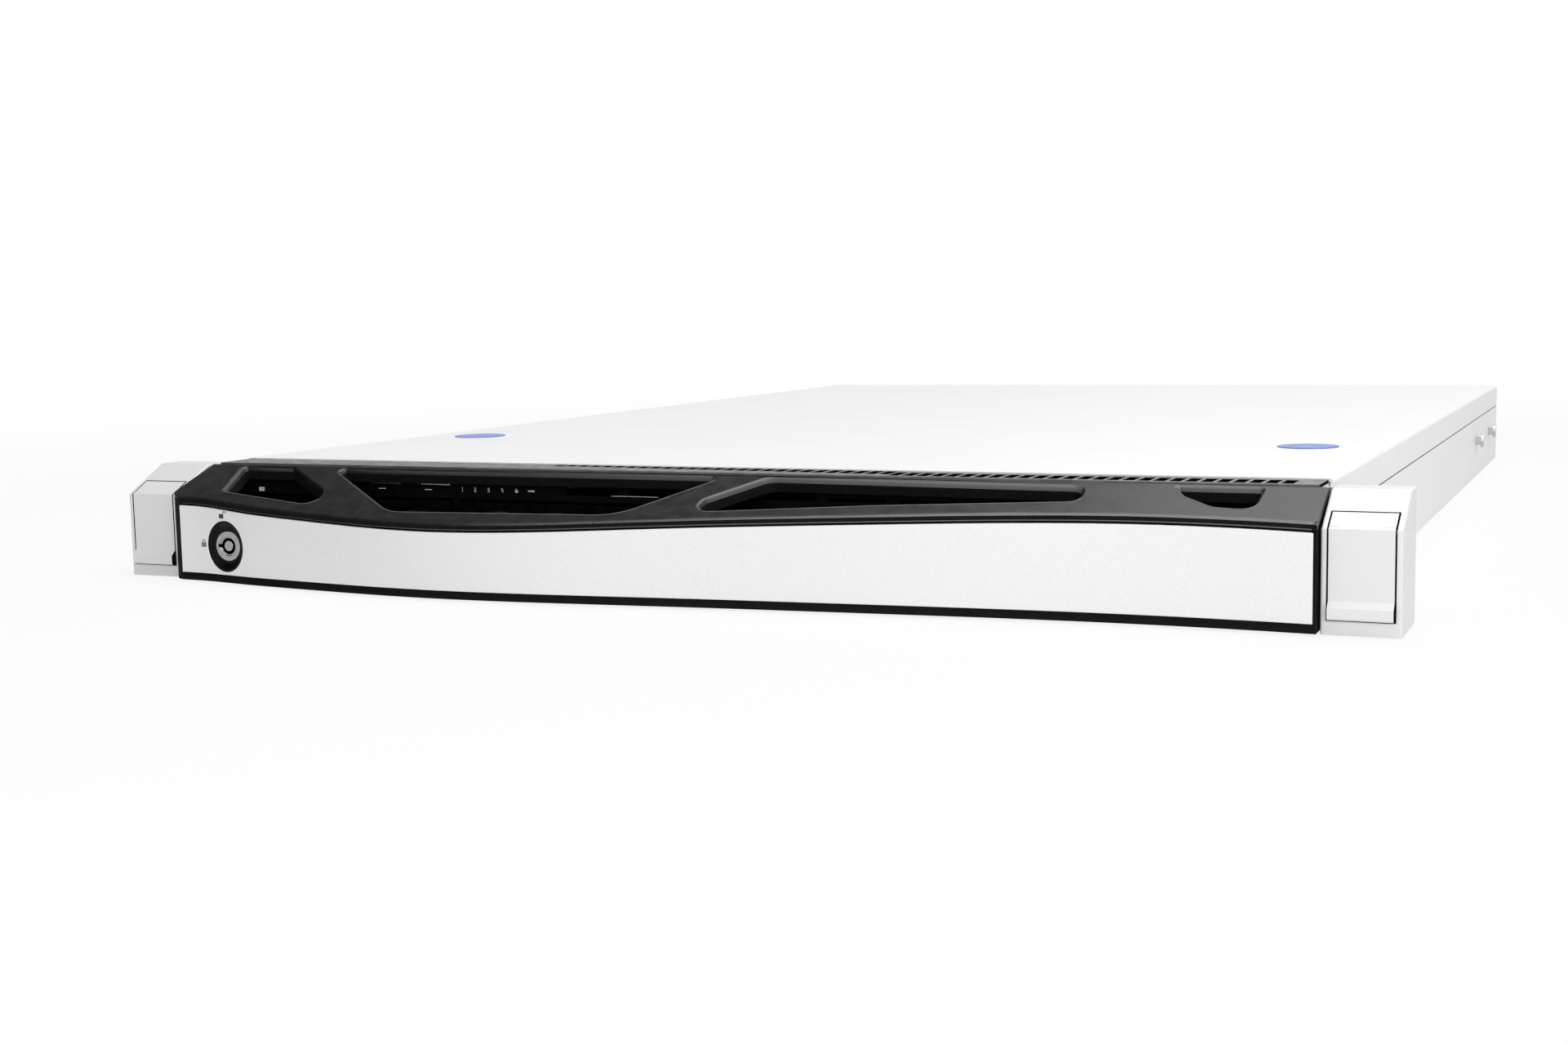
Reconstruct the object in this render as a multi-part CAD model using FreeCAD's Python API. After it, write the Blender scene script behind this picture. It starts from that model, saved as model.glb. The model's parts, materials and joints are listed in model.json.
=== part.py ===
"""One-unit rack server: a sheet-metal chassis with plastic rack ears, a sliding top
cover and a lockable moulded bezel whose front follows a shallow wave.

Millimetres.  X runs to the right, Y to the rear and Z up.  The origin is the middle
of the rack plane (the rear faces of the two rack flanges) at the underside of the
chassis.  "Set back" is a distance behind the front faces of the ears.
"""
import FreeCAD
import Part
import math
import os
from FreeCAD import Vector

os.makedirs("parts", exist_ok=True)

# ---- rack standard --------------------------------------------------------------
PANEL_WIDTH = 482.6          # over both ears
RACK_HOLE_FROM_SIDE = 8.75   # the column of rack holes, from the panel's end
RACK_HOLE_HEIGHT = 21.8      # of the middle hole of the unit

# ---- chassis sheet metal --------------------------------------------------------
EAR_OVERHANG = 26.3          # the panel stands out this far beyond each side
CHASSIS_HEIGHT = 43.5        # cover included
CHASSIS_SET_BACK = 21.9      # front edge of the pan
CHASSIS_DEPTH = 640.1
SHEET = 1.2
SIDE_STEP = 1.6              # the side steps in by this under cover flange and ear leg
STEP_HEIGHT = 31.0           # where the side steps in
LEG_ZONE = 48.0              # the side is stepped in this far behind the rack plane
TOP_PLAY = 0.3               # between the pan's upper edge and the cover

# ---- ears -----------------------------------------------------------------------
EAR_WIDTH = 23.9
EAR_DEPTH = 32.5             # front face to rack plane
EAR_TOP = 42.5
EAR_BROW = 32.1              # height where the upright face turns into the slope
EAR_SLOPE_RUN = 19.4
EAR_WALL = 1.8
FLANGE = 2.0
FLANGE_MARGIN = 0.8
BRACKET_LEG = 45.0
LEG_LOW = 3.0
LEG_HIGH = 29.0

# ---- ear flaps ------------------------------------------------------------------
FLAP_MARGIN = 2.3            # of ear left on each side of the flap
FLAP_GAP = 0.45
FLAP_SKIN = 2.0
FLAP_BOTTOM = 4.7
FLAP_TOP_SET_BACK = 8.0
FLAP_LIP_HEIGHT = 4.4
FLAP_LIP_REACH = 2.0
FLAP_LIP_RISE = 1.2          # the lip's upper face climbs to the skin by this ...
FLAP_LIP_FALL = 0.8          # ... and droops at its edge by this
FLAP_LIP_BEVEL = 0.5
PIN_SET_BACK = 3.6
PIN_HEIGHT = 31.0
PIN_RADIUS = 0.8
PIN_PLAY = 0.06
PIN_SIDES = 16               # flats of the hidden pin
KNUCKLE_RADIUS = 1.9
KNUCKLE_LENGTH = 3.0
FLAP_SWING_PLAY = 0.6
PIN_END_GAP = 0.3
EAR_EDGE_RADIUS = 0.8

# ---- rack screws ----------------------------------------------------------------
RACK_SCREW_RADIUS = 2.5
RACK_SCREW_NECK = 2.2        # where the screw passes through its flange
RACK_SCREW_REACH = 12.0
RACK_KNOB_RADIUS = 4.6
RACK_KNOB_LENGTH = 11.0
KNOB_GRIPS = 9
KNOB_GRIP_DEPTH = 0.8
CROSS_LENGTH = 2.6
CROSS_WIDTH = 0.5
CROSS_DEPTH = 1.6
SCREW_END_GAP = 0.4
SCREW_PLAY = 0.08

# ---- rail studs -----------------------------------------------------------------
RAIL_STUD_SPACING = 76.5
RAIL_STUD_TO_REAR = 53.5
RAIL_STUD_HEIGHT = 19.5
RAIL_STUD_RADIUS = 2.0
RAIL_STUD_HEAD = 3.6
RAIL_STUD_NECK = 2.6
RAIL_STUD_CAP = 1.5
RAIL_STUD_SIDES = 20         # flats of the head

# ---- top cover ------------------------------------------------------------------
COVER_SET_BACK = 40.0
COVER_FLANGE = 12.0
COVER_BEND = 1.6
PAD_RADIUS = 12.5
PAD_THICKNESS = 0.4
PAD_SET_BACK = 167.3
PAD_FROM_SIDE = 29.2

# ---- front top strip ------------------------------------------------------------
STRIP_SHEET = 1.1
STRIP_GAP = 0.4              # to the cover's front edge
STRIP_LAP = 9.0              # runs this far under the cover
STRIP_LAP_SHEET = 0.8
STRIP_LAP_JOIN = 4.0
SLOT_PITCH = 5.08
SLOT_WIDTH = 3.85
SLOT_FIRST = -68.0
SLOT_END_MARGIN = 6.0        # plain metal left at the strip's right end
SLOT_BREAK = 65.0            # slots right of this are set further forwards
SLOT_REAR_MARGIN = 0.8
LONG_SLOT_START = 34.2       # set back of the first slot's front end ...
LONG_SLOT_END = 27.8         # ... and of the last one before the break
SHORT_SLOT_START = 23.9
SHORT_SLOT_REAR = 35.0

# ---- bezel ----------------------------------------------------------------------
BEZEL_GAP = 0.6              # to each ear
BEZEL_BOTTOM = 0.5
BEZEL_TOP = 42.5
BEZEL_CREST = 19.4           # set back of the slope's top edge
BEZEL_LAND = 2.0             # flat behind the crest
BEZEL_SLOPE = 0.375          # rise over run
BEZEL_WALL = 2.4
BEZEL_CORNER = 7.5           # plan radius of the left end
BEZEL_LIP = 2.2              # radius between the wave and the slope
# the wave: place as a share of half the bezel's width, and stand-off in front of the ears
WAVE = [(-0.81, 13.0), (-0.69, 16.6), (-0.415, 21.7), (0.0, 14.2), (0.36, 6.5), (0.69, 1.5), (1.0, 3.4)]
WAVE_START = 8.3             # stand-off where the left corner ends
WAVE_END_LEAN = -0.08        # the wave runs out forwards at its right end
OPENING_DRAFT = 1.3          # how far the opening walls lean in
OPENING_DEPTH = 5.0
OPENING_COLLAR = 1.4         # wall left around an opening under the slope
OPENING_REACH = 6.0          # depth of the tapered cut, past the collar's end
BEND_SAG = 0.03              # how far a bend's chords may leave its true arc
STANDARD_HALF = 216.8        # half width at which the opening corners are written
# corners of each opening: across from the middle, down the slope from the crest, radius
OPENINGS = {
    "left": [(-199.0, 1.0, 1.6), (-175.0, 1.0, 3.0), (-147.0, 20.5, 6.0), (-144.0, 32.0, 4.5),
             (-192.8, 22.6, 1.4)],
    "wide": [(-156.0, 1.0, 2.0), (10.5, 0.9, 2.5), (-17.2, 32.2, 18.0), (-109.0, 34.9, 16.0)],
    "leaf": [(27.5, 0.8, 8.0), (141.0, 2.6, 4.5), (140.5, 13.0, 3.6), (75.0, 19.5, 150.0),
             (0.3, 29.6, 6.0)],
    "right": [(169.0, 0.8, 0.8), (197.3, 0.8, 2.0), (196.4, 15.8, 4.5), (184.0, 14.6, 8.0),
              (173.8, 7.6, 2.5)],
}

# ---- bezel face plate -----------------------------------------------------------
PLATE_THICKNESS = 1.0
PLATE_BOTTOM = 3.4
PLATE_TOP_DROP = 2.3         # below the slope, measured upright
PLATE_RIGHT_BORDER = 1.3
PLATE_LEFT_BORDER = 1.0       # from where the left corner's bend ends

# ---- lock -----------------------------------------------------------------------
LOCK_FROM_END = 31.2         # from the bezel's left end
LOCK_HEIGHT = 14.3
LOCK_RING_RADIUS = 9.7
LOCK_RING_DEPTH = 2.2
LOCK_RING_RIM = 1.2
LOCK_BARREL_RADIUS = 6.3
LOCK_BARREL_LENGTH = 15.0
LOCK_FLANGE = 1.2
LOCK_COLLAR = 1.5            # the sleeve's collar is this much wider than the ring
LOCK_BOSS = 1.4              # and the frame's boss this much wider than the collar
LOCK_SEAT = 3.2              # behind the front face, where the collar seats
LOCK_CORE_RADIUS = 3.9
LOCK_SLOT_RADIUS = 3.1
LOCK_POST_RADIUS = 2.0
LOCK_SLOT_DEPTH = 6.0
LOCK_NOTCH = 1.3
LOCK_PLAY = 0.06
LOCK_NUT_FLATS = 16.0
LOCK_SIDES = 24              # flats of the hidden round forms behind the wall
LOCK_NUT_THICKNESS = 3.0
LOCK_FACE_PROUD = 0.6        # the barrel's face stands this far out of the recess floor
LOCK_CORE_SET_BACK = 0.3
CAM_LENGTH = 14.0
CAM_WIDTH = 7.0
CAM_THICKNESS = 2.0
CAM_HUB = 4.5
CAM_STEM = 2.0               # half the width of the square stem it sits on
CAM_GAP = 0.4

# ---- control strip --------------------------------------------------------------
CONTROL_SET_BACK = 22.3
CONTROL_THICKNESS = 1.6
CONTROL_BOTTOM = 31.2
USB_WIDTH = 13.1
USB_HEIGHT = 5.0
USB_LENGTH = 16.0
USB_WALL = 0.5
USB_BOTTOM = 36.1
USB_PLACES = (-134.8, -112.4)
TONGUE_WIDTH = 10.6
TONGUE_THICKNESS = 1.6
LENS_FIRST = -100.7
LENS_PITCH = 5.9
LENS_COUNT = 6
LENS_WIDTH = 2.6
LENS_HEIGHT = 2.4
LENS_LENGTH = 7.0
LENS_BOTTOM = 37.2
POWER_FROM_SIDE = 19.7
POWER_HEIGHT = 33.6
POWER_WIDTH = 6.4
POWER_TALL = 3.8
RESET_FROM_SIDE = 30.9
RESET_HEIGHT = 34.1
RESET_RADIUS = 1.4
BUTTON_PROUD = 1.4
BUTTON_TRAVEL = 1.0
BUTTON_PLAY = 0.2
BUTTON_STEM = 6.0
USB_PROUD = 0.3
TONGUE_DROP = 0.6
LENS_PROUD = 0.2
SWITCH_SIZE = 5.0
STRIP_VENT_MARGIN = 6.0      # plain strip left at its right end
STRIP_VENT_FIRST = -56.0
STRIP_VENT_PITCH = 26.0
STRIP_VENT_WIDTH = 22.0
STRIP_VENT_RIM = 2.2
CONTROL_BOARD_DEPTH = 34.0
BOARD_SHEET = 1.6

# ---- drive bays -----------------------------------------------------------------
BAYS = 4
CAGE_SHEET = 1.0
CAGE_TOP = 30.4
DRIVE_SIDE_PLAY = 0.225      # between a drive and its tray's sides
DRIVE_LENGTH = 147.0
DRIVE_TO_FACE = 2.0
DRIVE_HEIGHT = 26.1
TRAY_PLAY = 0.4
TRAY_FACE = 7.0
TRAY_SHEET = 1.0
TRAY_FLOOR_GAP = 0.4
LEVER_HEIGHT = 8.0
LEVER_THICKNESS = 2.0
LEVER_MARGIN = 5.0
TRAY_VENTS = 4
TRAY_VENT_RIM = 3.0
TRAY_VENT_HEIGHT = 9.0
TRAY_VENT_SHARE = 0.6        # of the pitch taken by the vent
TRAY_SIDE = 9.0
DRIVE_CHAMFER = 1.5
BACKPLANE_TOP_GAP = 1.0
SOCKET_LENGTH = 8.0
SOCKET_WIDTH = 44.0
SOCKET_HEIGHT = 7.0

# ---- fans -----------------------------------------------------------------------
FANS = 4
FAN_SIZE = 40.0
FAN_DEPTH = 28.0
FAN_FLOOR_GAP = 0.2
FAN_BORE = 37.6
FAN_HUB = 21.0
FAN_SIDES = 24               # flats of the duct
HUB_SIDES = 16               # flats of the hub and the motor mount
FAN_BLADES = 5
FAN_BLADE_PLAY = 0.8
FAN_BEHIND_BACKPLANE = 24.0
FAN_MOUNT = 3.0              # thickness of the motor mount and its arms
FAN_ARM = 3.0
FAN_ARM_ANGLES = (45, 165, 285)
FAN_ROTOR_FRONT = 1.5
FAN_ROTOR_GAP = 0.1          # between the turning hub and the motor mount
FAN_BLADE_THICKNESS = 1.0
FAN_BLADE_CHORD = 15.0       # at the tip
FAN_BLADE_ROOT = 0.75        # chord at the root, as a share of the tip's
FAN_BLADE_PITCH = 38.0
FAN_FOOT = 10.0
FAN_WALL_RIM = 2.0           # of wall over each fan frame's edge

# ---- main board -----------------------------------------------------------------
BOARD_TO_PSU = 14.6
BOARD_DEPTH = 330.2
BOARD_STANDOFF = 6.5
BOARD_TO_REAR = 3.0
BOARD_FROM_LEFT = 3.5
STANDOFF_CORNER = 3.0        # of the hexagon, from its middle
SINK_WIDTH = 80.0
SINK_DEPTH = 92.0
SINK_BASE = 5.0
SINK_HEIGHT = 26.0
SINK_FINS = 14
SINK_FIN = 0.8
SINK_FRONT_GAP = 92.0        # board's front edge to the heatsinks
SINK_FROM_LEFT = 62.0        # the left heatsink, from the board's left edge
SINK_FROM_RIGHT = 6.8        # the right one, from the board's right edge
MEMORY_TO_SINK = 1.5         # at least, beside the memory bank
MEMORY_PITCH = 9.4
MEMORY_LENGTH = 133.3
MEMORY_HEIGHT = 30.0
MEMORY_THICKNESS = 4.0
MEMORY_FRONT_GAP = 70.0
MEMORY_SOCKET_WIDTH = 7.0
MEMORY_SOCKET_HEIGHT = 6.0
MEMORY_SOCKET_END = 4.0
STANDOFF_INSET = 7.0
DUCT_LAP = 12.0              # the duct ends this far over the heatsinks

# ---- rear -----------------------------------------------------------------------
PSU_WIDTH = 100.0
PSU_DEPTH = 220.0
PSU_HEIGHT = 40.0
PSU_SIDE_GAP = 1.5
INLET_WIDTH = 27.0
INLET_HEIGHT = 20.0
INLET_DEPTH = 17.0
INLET_FROM_SIDE = 34.0
PSU_FAN_FROM_SIDE = 76.0
GUARD_THICKNESS = 0.8
GUARD_BARS = 5
GUARD_WIRE = 1.2
INLET_WALL = 1.8
INLET_FLOOR = 2.5
INLET_CORNER = 4.0
INLET_PIN_SPREAD = 7.0
INLET_PIN_RISE = 3.5
INLET_PIN_LENGTH = 11.0
INLET_PIN_WIDTH = 2.0
INLET_PIN_HEIGHT = 4.0
PSU_WINDOW_RIM = 2.0
PSU_VENTS = 12
PSU_VENT_RIM = 5.0
PSU_VENT_PITCH = 7.7
PSU_VENT_WIDTH = 5.0
PSU_VENT_DEPTH = 4.0
REAR_VENT_RIM = 2.0
RISER_FROM_RIGHT = 72.8
RISER_HEIGHT = 24.0
RISER_THICKNESS = 1.6
RISER_TO_SINK = 0.4
RISER_TO_REAR = 20.0
SLOT_COVER_WIDTH = 74.0
SLOT_COVER_HEIGHT = 18.0
SLOT_COVER_SHEET = 1.0
SLOT_COVER_LAP = 2.5
REAR_VENT_COUNT = 11
REAR_VENT_PITCH = 19.0
REAR_VENT_WIDTH = 15.0
REAR_VENT_HEIGHT = 3.0
PORT_DEPTH = 18.0
PORT_PROUD = 0.6
PORT_PLAY = 0.3
PORT_WALL = 0.8
PORT_BACK = 3.2
# rear ports: from the board's left edge, width, height
PORTS = [(12.0, 31.0, 12.5), (52.0, 14.5, 15.6), (72.0, 16.0, 25.0), (94.0, 16.0, 25.0),
         (118.0, 16.0, 13.5), (142.0, 14.5, 15.6)]
DUCT_SHEET = 0.8
DUCT_TOP_GAP = 1.0           # under the cover
DUCT_SIDE = 4.0              # from the board's edges
DUCT_BEHIND_FANS = 2.5
DUCT_CHAMFER = 2.5
CPU_SOCKET = 60.0
CPU_SOCKET_HEIGHT = 4.0

# ---- derived --------------------------------------------------------------------
FRONT = -EAR_DEPTH
HALF_PANEL = PANEL_WIDTH / 2
HALF_CHASSIS = HALF_PANEL - EAR_OVERHANG
EAR_INNER = HALF_PANEL - EAR_WIDTH
PAN_FRONT = FRONT + CHASSIS_SET_BACK
PAN_REAR = PAN_FRONT + CHASSIS_DEPTH
STEPPED_HALF = HALF_CHASSIS - SIDE_STEP
INNER_HALF = STEPPED_HALF - SHEET
PAN_TOP = CHASSIS_HEIGHT - SHEET - TOP_PLAY
BEZEL_HALF = EAR_INNER - BEZEL_GAP
BEZEL_CREST_Y = FRONT + BEZEL_CREST
BEZEL_BACK = BEZEL_CREST_Y + BEZEL_LAND
BEZEL_FORWARD = FRONT - 60.0  # a plane well in front of the bezel's wave
SLOPE_ANGLE = math.atan(BEZEL_SLOPE)
EAR_ANGLE = math.atan((EAR_TOP - EAR_BROW) / EAR_SLOPE_RUN)
BROW_FACTOR = math.tan(math.pi / 4 - EAR_ANGLE / 2)    # inner brow corner, for each unit of wall
STRETCH = BEZEL_HALF / STANDARD_HALF
LOCK_X = -BEZEL_HALF + LOCK_FROM_END
COVER_FRONT = FRONT + COVER_SET_BACK
CONTROL_Y = FRONT + CONTROL_SET_BACK
POWER_X = -INNER_HALF + POWER_FROM_SIDE
RESET_X = -INNER_HALF + RESET_FROM_SIDE
TRAY_Y = CONTROL_Y
BAY_PITCH = (2 * INNER_HALF - CAGE_SHEET) / BAYS
DRIVE_Y = TRAY_Y + TRAY_FACE + DRIVE_TO_FACE
BACKPLANE_Y = DRIVE_Y + DRIVE_LENGTH + SOCKET_LENGTH
FAN_Y = BACKPLANE_Y + FAN_BEHIND_BACKPLANE
FAN_HEIGHT = SHEET + FAN_FLOOR_GAP + FAN_SIZE / 2
BOARD_X = -INNER_HALF + BOARD_FROM_LEFT
BOARD_Y = PAN_REAR - SHEET - BOARD_TO_REAR - BOARD_DEPTH
BOARD_Z = SHEET + BOARD_STANDOFF
BOARD_TOP = BOARD_Z + BOARD_SHEET
PSU_X = INNER_HALF - PSU_SIDE_GAP - PSU_WIDTH
BOARD_WIDTH = PSU_X - BOARD_TO_PSU - BOARD_X
SINK_PLACES = (SINK_FROM_LEFT, BOARD_WIDTH - SINK_FROM_RIGHT - SINK_WIDTH)
SINK_SPACE = SINK_PLACES[1] - SINK_PLACES[0] - SINK_WIDTH
MEMORY_ROOM = SINK_SPACE - 2 * MEMORY_TO_SINK - MEMORY_SOCKET_WIDTH
MEMORY_STICKS = 1 + int(MEMORY_ROOM / MEMORY_PITCH)
RISER_X = BOARD_X + BOARD_WIDTH - RISER_FROM_RIGHT


# ---- shape helpers --------------------------------------------------------------
def slab(x0, x1, y0, y1, z0, z1):
    """A block between the given faces."""
    return Part.makeBox(x1 - x0, y1 - y0, z1 - z0, Vector(x0, y0, z0))


def rod(radius, start, end):
    """A round bar between two points."""
    axis = end - start
    return Part.makeCylinder(radius, axis.Length, start, axis)


def rod_y(radius, x, z, y0, y1):
    return rod(radius, Vector(x, y0, z), Vector(x, y1, z))


def flats(sides, radius, across, up):
    """Corners of a polygon with equal sides round a point."""
    angles = [2 * math.pi * i / sides for i in range(sides)]
    return [(across + radius * math.cos(angle), up + radius * math.sin(angle))
            for angle in angles]


def sided_bar(sides, radius, x, z, y0, y1):
    """A bar along Y with equal flats, for the hidden round forms inside the case."""
    return front_prism(flats(sides, radius, x, z), y0, y1)


def prism(corners, push):
    """A closed polygon pushed out along a vector."""
    wire = Part.makePolygon(corners + [corners[0]])
    return Part.Face(wire).extrude(push)


def side_prism(outline, x0, x1):
    """An outline of (y, z) corners between two places across."""
    return prism([Vector(x0, y, z) for y, z in outline], Vector(x1 - x0, 0, 0))


def front_prism(outline, y0, y1):
    """An outline of (x, z) corners between two places front to rear."""
    return prism([Vector(x, y0, z) for x, z in outline], Vector(0, y1 - y0, 0))


def other_side(shape):
    """The same shape on the other side of the machine."""
    return shape.mirror(Vector(0, 0, 0), Vector(1, 0, 0))


def both_sides(shape):
    return [shape, other_side(shape)]


def save(name, *solids):
    """Write one sub-part; several solids share the node as a group."""
    shape = solids[0] if len(solids) == 1 else Part.makeCompound(list(solids))
    shape.exportStep("parts/" + name + ".step")
    print(name, len(shape.Solids), "solids", round(shape.Volume, 1), shape.isValid())


def rounded_outline(corners, written):
    """A flat wire round (x, y, radius) corners, each bend a run of short chords.

    Both ends of a tapered hole take the number of chords from the same written radii."""
    points = []
    for i, (x, y, radius) in enumerate(corners):
        here = Vector(x, y, 0)
        after = corners[(i + 1) % len(corners)]
        to_before = (Vector(corners[i - 1][0], corners[i - 1][1], 0) - here).normalize()
        to_after = (Vector(after[0], after[1], 0) - here).normalize()
        half = to_before.getAngle(to_after) / 2
        centre = here + (to_before + to_after).normalize() * (radius / math.sin(half))
        start = here + to_before * (radius / math.tan(half)) - centre
        turn = math.pi - 2 * half
        chord = 2 * math.acos(1 - BEND_SAG / written[i][2])
        steps = math.ceil(turn / chord)
        way = -math.copysign(1, to_before.cross(to_after).z)
        for step in range(steps + 1):
            angle = way * turn * step / steps
            points.append(centre + Vector(start.x * math.cos(angle) - start.y * math.sin(angle),
                                          start.x * math.sin(angle) + start.y * math.cos(angle), 0))
    return Part.makePolygon(points + [points[0]])


def drawn_in(corners, distance):
    """The same outline drawn in all round; its bends keep at least a small radius."""
    least_radius = 0.3
    following = corners[1:] + corners[:1]
    area = sum(a[0] * b[1] - b[0] * a[1] for a, b in zip(corners, following))
    turn = math.copysign(1, area)
    normals = []
    for a, b in zip(corners, following):
        along = Vector(b[0] - a[0], b[1] - a[1], 0).normalize()
        normals.append(Vector(-along.y, along.x, 0) * turn)
    result = []
    for i, (x, y, radius) in enumerate(corners):
        both = normals[i - 1] + normals[i]
        move = both * (distance / (1 + normals[i - 1].dot(normals[i])))
        outward_bend = normals[i - 1].cross(normals[i]).z * turn > 0
        change = distance if outward_bend else -distance
        result.append((x + move.x, y + move.y, max(radius - change, least_radius)))
    return result


# ---- bezel ----------------------------------------------------------------------
def wave_y(x):
    """How far back the bezel's front lies at a place across, before its wall."""
    line = Part.makeLine(Vector(x, BEZEL_FORWARD, 0), Vector(x, BEZEL_BACK, 0))
    return wave_edge(0, 0).distToShape(line)[1][0][0].y


def wave_edge(shift, z):
    """The wave of the bezel's front in plan, moved back by a shift."""
    start = Vector(-BEZEL_HALF + BEZEL_CORNER, FRONT - WAVE_START + shift, z)
    rest = [Vector(share * BEZEL_HALF, FRONT - out + shift, z) for share, out in WAVE]
    wave = Part.BSplineCurve()
    wave.interpolate(Points=[start] + rest, InitialTangent=Vector(1, 0, 0),
                     FinalTangent=Vector(1, WAVE_END_LEAN, 0))
    return wave.toShape()


def wave_block(shift, back, z0, z1):
    """Everything between the wave, moved back by a shift, and a straight back line."""
    wave = wave_edge(shift, z0)
    start = wave.Vertexes[0].Point
    end = wave.Vertexes[-1].Point
    bow = BEZEL_CORNER * (1 - math.sqrt(0.5))
    side = Vector(-BEZEL_HALF, start.y + BEZEL_CORNER, z0)
    corner = Part.Arc(side, Vector(-BEZEL_HALF + bow, start.y + bow, z0), start).toShape()
    back_right = Vector(BEZEL_HALF, back, z0)
    back_left = Vector(-BEZEL_HALF, back, z0)
    runs = [corner, wave, Part.makeLine(end, back_right),
            Part.makeLine(back_right, back_left), Part.makeLine(back_left, side)]
    return Part.Face(Part.Wire(runs)).extrude(Vector(0, 0, z1 - z0))


def above_slope(drop):
    """All that lies above the bezel's slope, or above a parallel surface lower by a drop."""
    crest = BEZEL_TOP - drop
    reach = 80.0
    low = crest - BEZEL_SLOPE * reach
    outline = [(BEZEL_CREST_Y - reach, low), (BEZEL_CREST_Y, crest),
               (BEZEL_CREST_Y + reach, crest), (BEZEL_CREST_Y + reach, crest + reach),
               (BEZEL_CREST_Y - reach, crest + reach)]
    return side_prism(outline, -HALF_PANEL, HALF_PANEL)


def on_slope(shape):
    """Move a shape drawn flat (y up the slope, z out of it) onto the bezel's slope."""
    shape.rotate(Vector(0, 0, 0), Vector(1, 0, 0), math.degrees(SLOPE_ANGLE))
    shape.translate(Vector(0, BEZEL_CREST_Y, BEZEL_TOP))
    return shape


def opening_corners(name):
    return [(x * STRETCH, -down, radius) for x, down, radius in OPENINGS[name]]


def opening_hole(name):
    """The tapered hole of one air opening, from above the slope to below its collar."""
    corners = opening_corners(name)
    upper = rounded_outline(corners, corners)
    draft = OPENING_DRAFT * OPENING_REACH / OPENING_DEPTH
    lower = rounded_outline(drawn_in(corners, draft), corners)
    lower.translate(Vector(0, 0, -OPENING_REACH))
    taper = Part.makeLoft([upper, lower], True, True)
    mouth = Part.Face(upper).extrude(Vector(0, 0, BEZEL_LIP))
    return on_slope(taper.fuse(mouth))


def opening_collar(name):
    """The wall that stands round an opening under the slope."""
    corners = opening_corners(name)
    outline = rounded_outline(drawn_in(corners, -OPENING_COLLAR), corners)
    return on_slope(Part.Face(outline).extrude(Vector(0, 0, -OPENING_DEPTH)))


def plate_space():
    """The space of the bezel's face plate, let into the wave."""
    band = wave_block(0, BEZEL_BACK, PLATE_BOTTOM, BEZEL_TOP)
    band = band.cut(wave_block(PLATE_THICKNESS, BEZEL_BACK + 1, 0, BEZEL_TOP + 1))
    band = band.cut(above_slope(PLATE_TOP_DROP))
    left = -BEZEL_HALF + BEZEL_CORNER + PLATE_LEFT_BORDER
    reach = slab(left, BEZEL_HALF - PLATE_RIGHT_BORDER, BEZEL_FORWARD, BEZEL_BACK, 0, BEZEL_TOP)
    return band.common(reach)


def bezel_outer():
    """The bezel's outside before it is hollowed, with its upper lip rounded."""
    body = wave_block(0, BEZEL_BACK, BEZEL_BOTTOM, BEZEL_TOP).cut(above_slope(0))
    lip = [edge for edge in body.Edges if on_lip(edge)]
    return body.makeFillet(BEZEL_LIP, lip)


def on_lip(edge):
    """True for the edges where the wave and its left corner meet the slope."""
    curved = type(edge.Curve).__name__ not in ("Line", "LineSegment")
    return curved and edge.BoundBox.ZMin > BEZEL_BOTTOM + 1


def bezel_frame():
    """The moulded shell: wave, slope, ends and floor, open to the rear."""
    outer = bezel_outer()
    floor = BEZEL_BOTTOM + BEZEL_WALL
    hollow = wave_block(BEZEL_WALL, BEZEL_BACK + 5, floor, BEZEL_TOP)
    hollow = hollow.cut(above_slope(BEZEL_WALL / math.cos(SLOPE_ANGLE)))
    inner = BEZEL_HALF - BEZEL_WALL
    hollow = hollow.common(slab(-inner, inner, BEZEL_FORWARD, BEZEL_BACK + 5, 0, BEZEL_TOP))
    shell = outer.cut(hollow)
    for name in OPENINGS:
        shell = shell.fuse(opening_collar(name).common(outer))
    for name in OPENINGS:
        shell = shell.cut(opening_hole(name))
    seat = lock_front() + LOCK_SEAT
    collar = LOCK_RING_RADIUS + LOCK_COLLAR
    boss = rod_y(collar + LOCK_BOSS, LOCK_X, LOCK_HEIGHT, BEZEL_FORWARD, seat + LOCK_FLANGE)
    shell = shell.fuse(boss.common(outer))
    shell = shell.cut(plate_space())
    shell = shell.cut(rod_y(collar, LOCK_X, LOCK_HEIGHT, seat, seat + LOCK_FLANGE + 1))
    return shell.cut(rod_y(LOCK_RING_RADIUS, LOCK_X, LOCK_HEIGHT, BEZEL_FORWARD, BEZEL_BACK))


def bezel_plate():
    """The thin metal face plate with its lock hole."""
    hole = rod_y(LOCK_RING_RADIUS, LOCK_X, LOCK_HEIGHT, BEZEL_FORWARD, BEZEL_BACK)
    return plate_space().cut(hole)


# ---- lock -----------------------------------------------------------------------
def lock_front():
    return wave_y(LOCK_X)


def behind_lock_front(back):
    """The space behind a flat that joins the wave at both sides of the lock."""
    sides = (LOCK_X - LOCK_RING_RADIUS, LOCK_X + LOCK_RING_RADIUS)
    corners = [Vector(x, wave_y(x), 0) for x in sides]
    corners += [Vector(x, back, 0) for x in reversed(sides)]
    return prism(corners, Vector(0, 0, BEZEL_TOP))


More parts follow.
